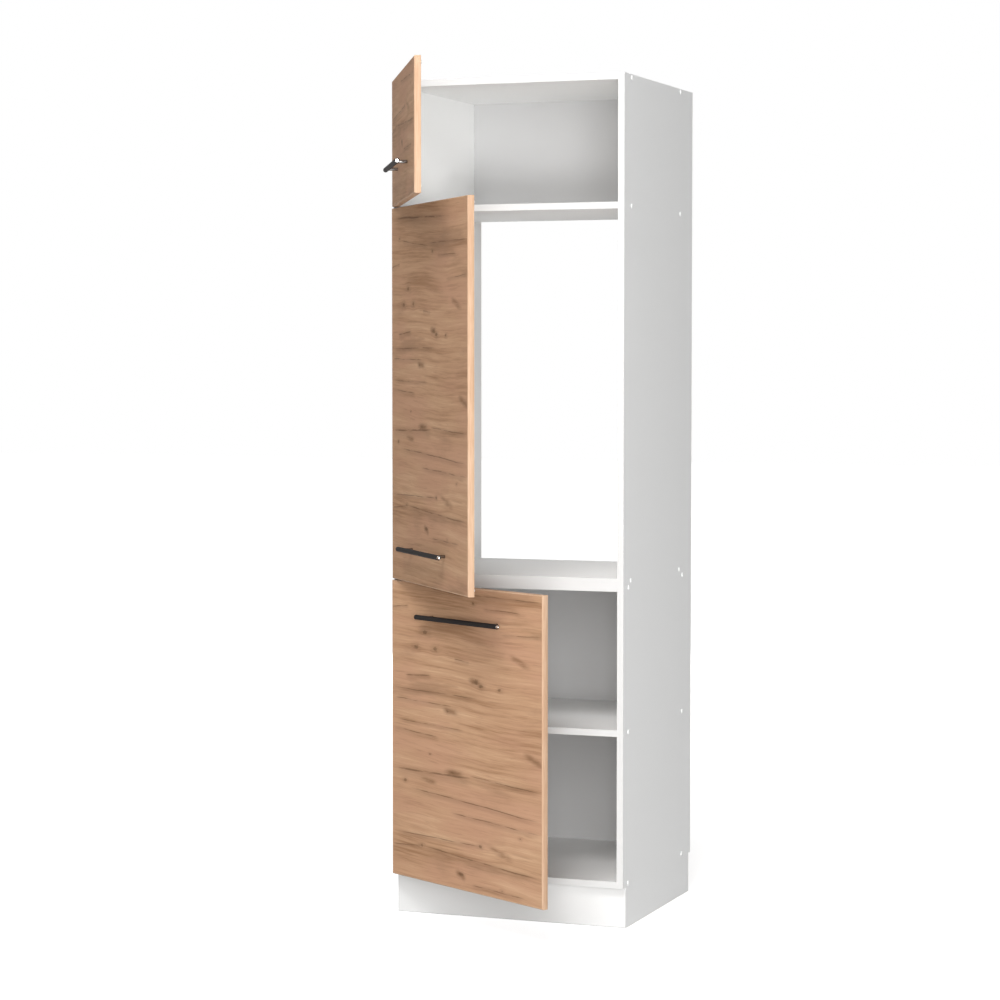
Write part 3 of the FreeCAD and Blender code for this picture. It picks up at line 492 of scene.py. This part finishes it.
def edgingMaterial():
    material, tree, shader, place = newMaterial("pale_edge")
    stripes = noise(tree, place, *edgeBand["stripes"])
    clouds = noise(tree, place, *edgeBand["clouds"])
    lightShare = ramp(tree, average(tree, stripes, clouds), *edgeBand["lightRamp"])
    feed(tree, shader, base=mixColour(tree, lightShare, edgeBand["dark"], edgeBand["light"]),
         roughness=ramp(tree, stripes, *edgeBand["roughnessRamp"]), specular=edgeBand["specular"],
         normal=bump(tree, stripes, edgeBand["relief"]))
    return material


materials["pale_edge"] = edgingMaterial()
print("materials made")

# each node's finish, from its slot in the record
slotOf = {entry["node"]: entry["material_slot"] for entry in frame["record"]["subparts"]}
boardLookOf = {"upper_side_left": "rawRear", "upper_side_right": "rawRear", "niche_floor_panel": "rawRear",
               "lower_side_left": "rawFoot", "lower_side_right": "rawFoot", "plinth_board": "plinth"}
for name, obj in nodes.items():
    slot = slotOf[name]
    if slot == "white_board":
        material = boardLooks[boardLookOf.get(name, "plain")]
    elif slot == "back_board":
        material = backMaterial(name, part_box(name)[0].y)
    elif slot == "oak_decor":
        material = oakMaterial(name.replace("_panel", ""))
    else:
        material = materials[slot]
    obj.data.materials.clear()
    obj.data.materials.append(material)


# mesh helpers

def lathe(profile, steps=32):
    # turns a profile of (along, radius) in mm about the X axis, from pole to pole
    bm = bmesh.new()
    verts = [bm.verts.new((along * mm, radius * mm, 0)) for along, radius in profile]
    edges = [bm.edges.new(pair) for pair in zip(verts, verts[1:])]
    bmesh.ops.spin(bm, geom=verts + edges, cent=(0, 0, 0), axis=(1, 0, 0), angle=2 * pi, steps=steps,
                   use_merge=True)
    bmesh.ops.remove_doubles(bm, verts=bm.verts[:], dist=0.001 * mm)
    bmesh.ops.recalc_face_normals(bm, faces=bm.faces[:])
    return bm


def block(low, high):
    # a box between two corners in mm
    bm = bmesh.new()
    size = [(b - a) * mm for a, b in zip(low, high)]
    middle = [(a + b) / 2 * mm for a, b in zip(low, high)]
    bmesh.ops.create_cube(bm, size=1.0, matrix=Matrix.Translation(middle) @ Matrix.Diagonal((*size, 1.0)))
    return bm


def wholeFaces(bm):
    # joins the triangles of a node's mesh into whole faces
    bmesh.ops.remove_doubles(bm, verts=bm.verts[:], dist=0.01 * mm)
    bmesh.ops.dissolve_limit(bm, angle_limit=radians(1), verts=bm.verts[:], edges=bm.edges[:])


def bevelEdges(bm, edges, offset, segments=1):
    # one segment gives a flat chamfer
    bmesh.ops.bevel(bm, geom=edges, offset=offset * mm, offset_type="OFFSET", affect="EDGES",
                    segments=segments, profile=0.5, material=-1, clamp_overlap=True)


def edgesAlong(bm, axis):
    def runsAlong(edge):
        step = edge.verts[1].co - edge.verts[0].co
        return abs(step[axis]) > aligned * step.length
    return [edge for edge in bm.edges if runsAlong(edge)]


def edgesAbove(bm, axis, level):
    # the edges that lie past a level, in mm, along one axis
    return [edge for edge in bm.edges if all(vert.co[axis] > level * mm for vert in edge.verts)]


def liesAt(edge, axis, level):
    # whether an edge lies at a level, in metres, along one axis
    return all(abs(vert.co[axis] - level) < near for vert in edge.verts)


def stamp(target, source, *places):
    # copies a shape to each place, then frees it
    for place in places:
        mesh = bpy.data.meshes.new("stamp")
        source.to_mesh(mesh)
        mesh.transform(place)
        target.from_mesh(mesh)
        bpy.data.meshes.remove(mesh)
    source.free()


def makePiece(bm, name, body, replaced, smoothAngle=32, material=None):
    mesh = bpy.data.meshes.new(name)
    bm.to_mesh(mesh)
    bm.free()
    mesh.shade_smooth()
    mesh.set_sharp_from_angle(angle=radians(smoothAngle))
    slot = slotOf[replaced]
    mesh.materials.append(material or materials[slot])
    piece = bpy.data.objects.new(name, mesh)
    bpy.context.scene.collection.objects.link(piece)
    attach(piece, body)
    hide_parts(replaced)


def shift(x, y, z):
    return Matrix.Translation((x * mm, y * mm, z * mm))


def turnZ(degrees):
    return Matrix.Rotation(radians(degrees), 4, "Z")


# turns for shapes made along X, named for where +X goes; a screw's head looks the other way, to -X
xToFront = turnZ(-90)
xToRear = turnZ(90)
xToFoot = Matrix.Rotation(pi / 2, 4, "Y")
halfTurn = turnZ(180)
# edges stay sharp from these angles
boardAngle = 20
domeAngle = 40

# doors: the board's front arris is taken off, and a band round the four edges is rounded over it
doorShape = {"left": -7.5, "width": 597, "front": -7, "back": 9, "band": 1.0, "frontRound": 3.0,
             "frontSteps": 5, "backRound": 0.7, "backSteps": 2, "broadFace": 0.05}
for door in doors:
    low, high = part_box(f"{door}_panel")
    board = bmesh.new()
    board.from_mesh(nodes[f"{door}_panel"].data)
    board.transform(doorPlace[door].inverted())
    wholeFaces(board)
    left = doorShape["left"] + doorShape["band"]
    right = doorShape["left"] + doorShape["width"] - doorShape["band"]
    rims = ((0, left * mm), (0, right * mm), (2, low.z), (2, high.z))
    arris = [edge for edge in board.edges if liesAt(edge, 1, doorShape["front"] * mm) and
             any(liesAt(edge, axis, level) for axis, level in rims)]
    bevelEdges(board, arris, doorShape["frontRound"] - doorShape["band"])
    board.transform(doorPlace[door])
    panelMaterial = nodes[f"{door}_panel"].data.materials[0]
    makePiece(board, f"{door}_board", door, f"{door}_panel", boardAngle, panelMaterial)

    low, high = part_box(f"{door}_edging")
    band = block((doorShape["left"], doorShape["front"], low.z / mm),
                 (doorShape["left"] + doorShape["width"], doorShape["back"], high.z / mm))
    for side in ("front", "back"):
        rim = [edge for edge in band.edges if liesAt(edge, 1, doorShape[side] * mm)]
        bevelEdges(band, rim, doorShape[side + "Round"], doorShape[side + "Steps"])
    broad = [face for face in band.faces
             if abs(face.normal.y) > aligned and face.calc_area() > doorShape["broadFace"]]
    bmesh.ops.delete(band, geom=broad, context="FACES")
    bmesh.ops.recalc_face_normals(band, faces=band.faces[:])
    bmesh.ops.solidify(band, geom=band.faces[:], thickness=doorShape["band"] * mm)
    band.transform(doorPlace[door])
    makePiece(band, f"{door}_edging_band", door, f"{door}_edging")
print("doors made")

# plinth: the board with its front arrises eased, and a chamfer at the foot
plinth = {"easing": 0.8, "easeSteps": 2, "footChamfer": 2.2, "easedFrom": 1.0}
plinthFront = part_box("plinth_board")[0].y
kick = bmesh.new()
kick.from_mesh(nodes["plinth_board"].data)
wholeFaces(kick)
foot = [edge for edge in kick.edges if liesAt(edge, 1, plinthFront) and liesAt(edge, 2, 0.0)]
bevelEdges(kick, foot, plinth["footChamfer"])
eased = [edge for edge in edgesAbove(kick, 2, plinth["easedFrom"]) if liesAt(edge, 1, plinthFront)]
bevelEdges(kick, eased, plinth["easing"], plinth["easeSteps"])
makePiece(kick, "plinth_face_board", "carcass", "plinth_board", boardAngle, boardLooks["plinth"])
print("plinth eased")

# handles: a dark bar with a chrome disc in each end, on two chrome posts
handle = {"middle": 291, "standoff": -34, "pitch": 256, "length": 324, "barRadius": 6, "chamfer": 0.7,
          "barSteps": 40, "discRadius": 4.2, "discSeat": 2.0, "discClearance": 0.1, "discAngle": 24,
          # how deep, and how far in from the edge, over the rounded rim to the dished middle
          "discRim": ((0.35, 0), (0.1, 0.3), (0.1, 0.75), (0.55, 1.3), (0.9, 2.6)),
          "postRadius": 4, "postFoot": 0.25, "postShoulder": 0.8, "postSeat": 2,
          "level": {"top_door": 1839.5, "fridge_door": 921.5, "lower_door": 754.5}}
postsAlong = (handle["middle"] - handle["pitch"] / 2, handle["middle"] + handle["pitch"] / 2)
for door in doors:
    level = handle["level"][door]
    half = handle["length"] / 2
    radius = handle["barRadius"]
    lip = handle["discRadius"] + handle["discClearance"]
    inner = -half + handle["discSeat"]
    barEnd = [(inner, 0), (inner, lip), (-half, lip), (-half, radius - handle["chamfer"]),
              (-half + handle["chamfer"], radius)]
    bar = lathe(barEnd + [(-along, r) for along, r in reversed(barEnd)], handle["barSteps"])
    seat = doorPlace[door] @ shift(handle["middle"], handle["standoff"], level)
    bar.transform(seat)
    makePiece(bar, f"{door}_bar", door, f"{door}_handle_bar")

    disc = [(handle["discSeat"], 0), (handle["discSeat"], handle["discRadius"])]
    disc += [(depth, handle["discRadius"] - inward) for depth, inward in handle["discRim"]]
    disc.append((disc[-1][0], 0))
    discs = bmesh.new()
    stamp(discs, lathe(disc), seat @ shift(-half, 0, 0), seat @ shift(half, 0, 0) @ halfTurn)
    # the discs take the brighter copy of the chrome, for their painted highlight
    makePiece(discs, f"{door}_bar_discs", door, f"{door}_handle_discs", handle["discAngle"],
              materials["chrome_disc"])

    reach = doorShape["front"] - handle["standoff"] - handle["postSeat"]
    r, footEase, shoulder = handle["postRadius"], handle["postFoot"], handle["postShoulder"]
    post = [(0, 0), (0, r - footEase), (footEase, r),
            (reach - shoulder, r), (reach, r - shoulder), (reach, 0)]
    posts = bmesh.new()
    stamp(posts, lathe(post), *(doorPlace[door] @ shift(x, doorShape["front"], level) @ xToFront
                                for x in postsAlong))
    makePiece(posts, f"{door}_posts", door, f"{door}_handle_posts")
print("handles made")

# screw caps: shallow domes, pressed into the screw heads
cap = {"radius": 6.2, "height": 2.2, "stem": 1.9, "stemLength": 3.0, "steps": 28,
       "levels": (108, 478, 830, 846, 1752, 2060), "upperRows": (29, 422), "lowerRows": (12, 448),
       "upperFrom": 838, "side": 300,
       # shares of the height and the radius, from the crown to the rim
       "dome": ((1, 0), (1, 0.35), (0.93, 0.62), (0.72, 0.84), (0.4, 0.96), (0.12, 1))}
capProfile = [(-cap["height"] * up, cap["radius"] * out) for up, out in cap["dome"]]
capProfile += [(0, cap["radius"]), (0, cap["stem"]), (cap["stemLength"], cap["stem"]), (cap["stemLength"], 0)]
capPlaces = []
for level in cap["levels"]:
    for row in cap["upperRows"] if level > cap["upperFrom"] else cap["lowerRows"]:
        capPlaces.append(shift(-cap["side"], row, level))
        capPlaces.append(shift(cap["side"], row, level) @ halfTurn)
caps = bmesh.new()
stamp(caps, lathe(capProfile, cap["steps"]), *capPlaces)
makePiece(caps, "cover_caps", "carcass", "screw_caps", domeAngle)
print("screw caps made")


def growRing(bm, edges, widen, move):
    # extrudes a ring of edges, scaled about the X axis and moved along it
    grown = bmesh.ops.extrude_edge_only(bm, edges=edges)["geom"]
    verts = [item for item in grown if isinstance(item, bmesh.types.BMVert)]
    bmesh.ops.scale(bm, vec=(1, widen, widen), verts=verts)
    bmesh.ops.translate(bm, vec=(move * mm, 0, 0), verts=verts)
    fresh = set(verts)
    return [edge for edge in bm.edges if edge.verts[0] in fresh and edge.verts[1] in fresh]


# screw heads: shares of the head's radius and height, and a stub of shank in mm
screwHead = {"arm": 0.56, "armHalf": 0.13, "recessFoot": 0.62, "recessDepth": 0.7, "top": 0.7,
             "shoulder": 0.92, "shoulderDrop": 0.22, "rimDrop": 0.4, "wall": 0.38, "shank": 0.5, "stub": 1.5,
             "segments": 24}


def crossScrew(radius, height):
    # pan head with a cross recess, seen from -X; its seat is at 0, with a stub of shank behind it
    bm = bmesh.new()
    arm, half = radius * screwHead["arm"], radius * screwHead["armHalf"]
    corner = [(arm, -half), (arm, half), (half, half)]
    outline = []
    for turn in range(4):
        outline += corner
        corner = [(-z, y) for y, z in corner]
    verts = [bm.verts.new((-height * mm, y * mm, z * mm)) for y, z in outline]
    cross = [bm.edges.new((verts[i - 1], verts[i])) for i in range(len(verts))]
    face = Matrix.Translation((-height * mm, 0, 0)) @ xToFoot
    circle = bmesh.ops.create_circle(bm, cap_ends=False, radius=radius * screwHead["top"] * mm,
                                     segments=screwHead["segments"], matrix=face)["verts"]
    rim = list({edge for vert in circle for edge in vert.link_edges})
    bottom = growRing(bm, cross, screwHead["recessFoot"], height * screwHead["recessDepth"])
    bmesh.ops.edgeloop_fill(bm, edges=bottom)
    bmesh.ops.bridge_loops(bm, edges=cross + rim)
    rim = growRing(bm, rim, screwHead["shoulder"] / screwHead["top"], height * screwHead["shoulderDrop"])
    rim = growRing(bm, rim, 1 / screwHead["shoulder"], height * screwHead["rimDrop"])
    rim = growRing(bm, rim, 1, height * screwHead["wall"])
    rim = growRing(bm, rim, screwHead["shank"], 0)
    rim = growRing(bm, rim, 1, screwHead["stub"])
    bmesh.ops.edgeloop_fill(bm, edges=rim)
    bmesh.ops.recalc_face_normals(bm, faces=bm.faces[:])
    return bm


def screwRow(places, radius, height):
    rows = bmesh.new()
    stamp(rows, crossScrew(radius, height), *places)
    return rows


# hinges: a cup and pin in the door, an arm and a mounting plate in the carcass
hinge = {"levels": {"top_door": (1837.5, 1986.5), "fridge_door": (939.5, 1297, 1654.5),
                    "lower_door": (201.5, 736.5)},
         "cupCentre": 13, "cupRadius": 17.4, "cupInner": 16.5, "cupBottom": -3.9, "rimRadius": 19.0,
         # small steps along and outward: floor and wall, lip, rim and foot of the cup
         "panFloor": ((1.0, -1.0), (1.4, -0.3), (2.2, 0)), "panLip": ((-0.6, 0), (-0.2, 0.3), (0, 0.8)),
         "panRim": ((0, -0.7), (-0.2, -0.2), (-0.6, 0)), "panFoot": ((0.6, 0), (0, -0.6)),
         "cupSteps": 48, "roundSteps": 6, "easeSteps": 2,
         "flange": 1.0, "wingFrom": 14, "wingTo": 28, "wingHalf": 9.5, "wingRound": 6,
         "wingEase": 0.25, "cupScrewUp": 22.5, "cupScrewHead": (3.5, 1.6), "pinRadius": 1.5, "pinHalf": 9.6,
         "pinChamfer": 0.3, "pinSteps": 20, "pinPlay": 0.05, "pivot": (-291, -40), "strap": 2.4,
         "strapHalf": 5, "strapFront": -1.4, "strapInside": 0.6, "strapFrom": 1.9, "neck": -267,
         "neckEnd": -18, "elbow": 2.3, "eyeRadius": 2.6, "eyeSteps": 28,
         "channel": (-281, -267), "channelRun": (-22, 38), "channelHalf": 7, "channelWall": 1.4,
         "shoulder": 2.2, "shoulderSteps": 4, "nose": 0.78,
         "plate": (-284, -281), "plateRun": (1, 38), "spineHalf": 5.4,
         "spineRound": 1.2, "wingRun": (1, 17), "plateHalf": 23, "plateRound": 7.0, "plateEase": 0.6,
         "armScrewRows": (-6, 22), "armScrewHead": (3.0, 1.5), "plateScrewRow": 9, "plateScrewUp": 16,
         "plateScrewHead": (4.0, 1.5)}


def stepsFrom(along, radius, steps):
    # profile points at small steps from one place
    return [(along + onward, radius + outward) for onward, outward in steps]


for door in doors:
    cups, pins, cupScrews = bmesh.new(), bmesh.new(), []
    rim, inner, outer = hinge["rimRadius"], hinge["cupInner"], hinge["cupRadius"]
    back, bottom = doorShape["back"], hinge["cupBottom"]
    top = back + hinge["flange"]
    hollow = stepsFrom(bottom, inner, hinge["panFloor"]) + stepsFrom(top, inner, hinge["panLip"])
    flange = stepsFrom(top, rim, hinge["panRim"]) + [(back, rim), (back, outer)]
    outside = stepsFrom(bottom, outer, hinge["panFoot"])
    pan = [(hollow[0][0], 0)] + hollow + flange + outside + [(bottom, 0)]
    for level in hinge["levels"][door]:
        middle = doorPlace[door] @ shift(hinge["cupCentre"], 0, level)
        stamp(cups, lathe(pan, hinge["cupSteps"]), middle @ xToRear)
        for up in (1, -1):
            wing = block((-hinge["wingHalf"], back, hinge["wingFrom"]),
                         (hinge["wingHalf"], top, hinge["wingTo"]))
            corners = [edge for edge in edgesAlong(wing, 1)
                       if edge.verts[0].co.z > (hinge["wingTo"] - slack) * mm]
            bevelEdges(wing, corners, hinge["wingRound"], hinge["roundSteps"])
            bevelEdges(wing, edgesAbove(wing, 1, top - slack), hinge["wingEase"], hinge["easeSteps"])
            flip = Matrix.Identity(4) if up > 0 else Matrix.Rotation(pi, 4, "Y")
            stamp(cups, wing, middle @ flip)
            cupScrews.append(middle @ shift(0, top, up * hinge["cupScrewUp"]) @ xToFront)
        half, r, ease = hinge["pinHalf"], hinge["pinRadius"], hinge["pinChamfer"]
        pin = [(-half, 0), (-half, r - ease), (-half + ease, r),
               (half - ease, r), (half, r - ease), (half, 0)]
        stamp(pins, lathe(pin, hinge["pinSteps"]), doorPlace[door] @ shift(0, 0, level) @ xToFoot)
    makePiece(cups, f"{door}_cups", door, f"{door}_hinge_cups")
    makePiece(pins, f"{door}_pins", door, f"{door}_hinge_pins")
    heads = screwRow(cupScrews, *hinge["cupScrewHead"])
    makePiece(heads, f"{door}_cup_screw_heads", door, f"{door}_cup_screws")

arms, plates, armScrews, plateScrews = bmesh.new(), bmesh.new(), [], []
pivotX, pivotY = hinge["pivot"]
front, inside = pivotY + hinge["strapFront"], pivotY + hinge["strapInside"]
strapFrom = pivotX + hinge["strapFrom"]  # in the wall of the eye, clear of the pin
for level in [level for door in doors for level in hinge["levels"][door]]:
    up = shift(0, 0, level)
    # gooseneck: a bent strap drawn in plan and given its height
    strap = bmesh.new()
    neck, neckEnd, half = hinge["neck"], hinge["neckEnd"], hinge["strapHalf"]
    neckInside = neck - hinge["strap"]
    bend = [(strapFrom, front), (neck, front), (neck, neckEnd), (neckInside, neckEnd), (neckInside, inside),
            (strapFrom, inside)]
    plan = strap.faces.new([strap.verts.new((x * mm, y * mm, -half * mm)) for x, y in bend])
    raised = bmesh.ops.extrude_face_region(strap, geom=[plan], use_keep_orig=True)["geom"]
    bmesh.ops.translate(strap, vec=(0, 0, 2 * half * mm),
                        verts=[item for item in raised if isinstance(item, bmesh.types.BMVert)])
    bmesh.ops.recalc_face_normals(strap, faces=strap.faces[:])
    elbow = [edge for edge in edgesAlong(strap, 2) if edge.verts[0].co.x > (neck - slack) * mm and
             edge.verts[0].co.y < (front + slack) * mm]
    bevelEdges(strap, elbow, hinge["elbow"], hinge["roundSteps"])
    stamp(arms, strap, up)
    eye, hole = hinge["eyeRadius"], hinge["pinRadius"] + hinge["pinPlay"]
    ring = [(-half, hole), (-half, eye), (half, eye), (half, hole), (-half, hole)]
    stamp(arms, lathe(ring, hinge["eyeSteps"]), shift(pivotX, pivotY, level) @ xToFoot)
    # channel: open towards the side board, with rounded shoulders and a drawn-in nose
    low, high = hinge["channel"]
    noseAt, tailAt = hinge["channelRun"]
    channel = block((low, noseAt, -hinge["channelHalf"]), (high, tailAt, hinge["channelHalf"]))
    openSide = [face for face in channel.faces if face.normal.x < -aligned]
    bmesh.ops.delete(channel, geom=openSide, context="FACES")
    nose = [vert for vert in channel.verts if vert.co.y < (noseAt + slack) * mm]
    bmesh.ops.scale(channel, vec=(1, 1, hinge["nose"]), verts=nose)
    bevelEdges(channel, edgesAbove(channel, 0, high - slack), hinge["shoulder"], hinge["shoulderSteps"])
    bmesh.ops.recalc_face_normals(channel, faces=channel.faces[:])
    bmesh.ops.solidify(channel, geom=channel.faces[:], thickness=hinge["channelWall"] * mm)
    stamp(arms, channel, up)
    armScrews += [shift(high, row, level) @ halfTurn for row in hinge["armScrewRows"]]
    # plate: a spine under the arm and two rounded wings on the board
    low, high = hinge["plate"]
    for run, half, radius in ((hinge["plateRun"], hinge["spineHalf"], hinge["spineRound"]),
                              (hinge["wingRun"], hinge["plateHalf"], hinge["plateRound"])):
        plate = block((low, run[0], -half), (high, run[1], half))
        bevelEdges(plate, edgesAlong(plate, 0), radius, hinge["roundSteps"])
        bevelEdges(plate, edgesAbove(plate, 0, high - slack), hinge["plateEase"], hinge["easeSteps"])
        stamp(plates, plate, up)
    plateScrews += [shift(high, hinge["plateScrewRow"], level + side * hinge["plateScrewUp"]) @ halfTurn
                    for side in (1, -1)]
makePiece(arms, "hinge_arm_bodies", "carcass", "hinge_arms")
makePiece(plates, "hinge_plate_bodies", "carcass", "hinge_plates")
heads = screwRow(armScrews, *hinge["armScrewHead"])
makePiece(heads, "hinge_arm_screw_heads", "carcass", "hinge_arm_screws")
heads = screwRow(plateScrews, *hinge["plateScrewHead"])
makePiece(heads, "hinge_plate_screw_heads", "carcass", "hinge_plate_screws")
print("hinges made")

# behind each door: the handle's bolt heads, and soft bumpers near the free edge
behind = {"boltHead": (4.0, 2.4), "bumperAlong": 583, "bumperInset": 15, "bumperRadius": 4.0,
          "bumperHeight": 2.7, "bumperSteps": 24,
          # shares of the height and the radius, from the seat to the crown
          "dome": ((0, 0), (0, 1), (0.3, 1), (0.62, 0.9), (0.86, 0.68), (0.97, 0.36), (1, 0))}
dome = [(behind["bumperHeight"] * up, behind["bumperRadius"] * out) for up, out in behind["dome"]]
for door in doors:
    boltPlaces = [doorPlace[door] @ shift(x, doorShape["back"], handle["level"][door]) @ xToFront
                  for x in postsAlong]
    heads = screwRow(boltPlaces, *behind["boltHead"])
    makePiece(heads, f"{door}_bolt_heads", door, f"{door}_handle_bolts")
    low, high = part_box(f"{door}_panel")
    inset = behind["bumperInset"] - doorShape["band"]
    bumpers = bmesh.new()
    stamp(bumpers, lathe(dome, behind["bumperSteps"]),
          *(doorPlace[door] @ shift(behind["bumperAlong"], doorShape["back"], level) @ xToRear
            for level in (low.z / mm + inset, high.z / mm - inset)))
    makePiece(bumpers, f"{door}_bumper_domes", door, f"{door}_bumpers", domeAngle)
print("bolts and bumpers made")

# studio: a pale floor, soft lamps in front and behind, and even light all round
studio = {"floorSize": 60, "floorColour": colour(205, 205, 205), "floorRoughness": 0.9, "nearGlow": 0.78,
          "farGlow": 1.0, "glowFrom": 0.7, "glowTo": 3.2, "ambient": 0.16, "white": (1, 1, 1, 1),
          "aim": (0, 0.1, 1.05), "notReflected": "rear_fill",
          # name: place, width, height, power
          "lamps": {"front_softbox": ((2.41, -5.87, 1.96), 2.4, 2.4, 154),
                    "upper_lamp": ((0.67, -4.68, 5.40), 2.4, 2.4, 266),
                    "front_low_lamp": ((2.41, -5.87, 0.48), 2.4, 0.8, 114),
                    "right_low_lamp": ((4.33, -4.71, 0.48), 2.4, 0.8, 68),
                    "rear_fill": ((-2.9, 5.6, 1.3), 3.0, 2.2, 90)}}


def seenDirectly(tree):
    path = addNode(tree, "LightPath").outputs
    seen = maths(tree, "MAXIMUM", path["Is Camera Ray"], path["Is Glossy Ray"])
    return maths(tree, "MAXIMUM", seen, path["Is Transmission Ray"])


floorMaterial, tree, shader, place = newMaterial("studio_floor")
feed(tree, shader, base=studio["floorColour"], roughness=studio["floorRoughness"], specular=0.0)
# white far away, and dim enough near the object to keep its shadow
glowLevel = ramp(tree, length(tree, place), studio["glowFrom"], studio["glowTo"], studio["nearGlow"],
                 studio["farGlow"])
glow = addNode(tree, "Emission", {"Color": studio["white"],
                                  "Strength": maths(tree, "MULTIPLY", seenDirectly(tree), glowLevel)})
both = addNode(tree, "AddShader", {0: shader.outputs[0], 1: glow.outputs[0]})
tree.links.new(both.outputs[0], tree.nodes["Material Output"].inputs["Surface"])
bm = bmesh.new()
bmesh.ops.create_grid(bm, x_segments=1, y_segments=1, size=studio["floorSize"] / 2)
mesh = bpy.data.meshes.new("studio_floor")
bm.to_mesh(mesh)
bm.free()
mesh.materials.append(floorMaterial)
floor = bpy.data.objects.new("studio_floor", mesh)
bpy.context.scene.collection.objects.link(floor)

world = bpy.data.worlds.new("studio_world")
bpy.context.scene.world = world
world.use_nodes = True
tree = world.node_tree
even = tree.nodes["Background"]
even.inputs["Color"].default_value = studio["white"]
even.inputs["Strength"].default_value = studio["ambient"]
white = addNode(tree, "Background", {"Color": studio["white"], "Strength": 1.0})
chosen = addNode(tree, "MixShader", {0: seenDirectly(tree), 1: even.outputs[0], 2: white.outputs[0]})
tree.links.new(chosen.outputs[0], tree.nodes["World Output"].inputs["Surface"])

for name, (lampPlace, width, height, power) in studio["lamps"].items():
    lampData = bpy.data.lights.new(name, "AREA")
    lampData.shape = "RECTANGLE"
    lampData.size = width
    lampData.size_y = height
    lampData.energy = power
    lamp = bpy.data.objects.new(name, lampData)
    lamp.location = lampPlace
    lamp.rotation_euler = (Vector(studio["aim"]) - Vector(lampPlace)).to_track_quat("-Z", "Y").to_euler()
    lamp.visible_camera = False
    lamp.visible_glossy = name != studio["notReflected"]
    bpy.context.scene.collection.objects.link(lamp)

view = {"place": (2.42486, -6.38724, 1.37665), "yaw": 21.02, "pitch": -2.84, "lens": 100.315, "sensor": 36}
cameraData = bpy.data.cameras.new("photo_camera")
cameraData.sensor_width = view["sensor"]
cameraData.lens = view["lens"]
camera = bpy.data.objects.new("photo_camera", cameraData)
camera.location = view["place"]
camera.rotation_euler = (radians(90 + view["pitch"]), 0, radians(view["yaw"]))
bpy.context.scene.collection.objects.link(camera)
bpy.context.scene.camera = camera
bpy.context.scene.view_settings.view_transform = "Standard"
print("studio made")
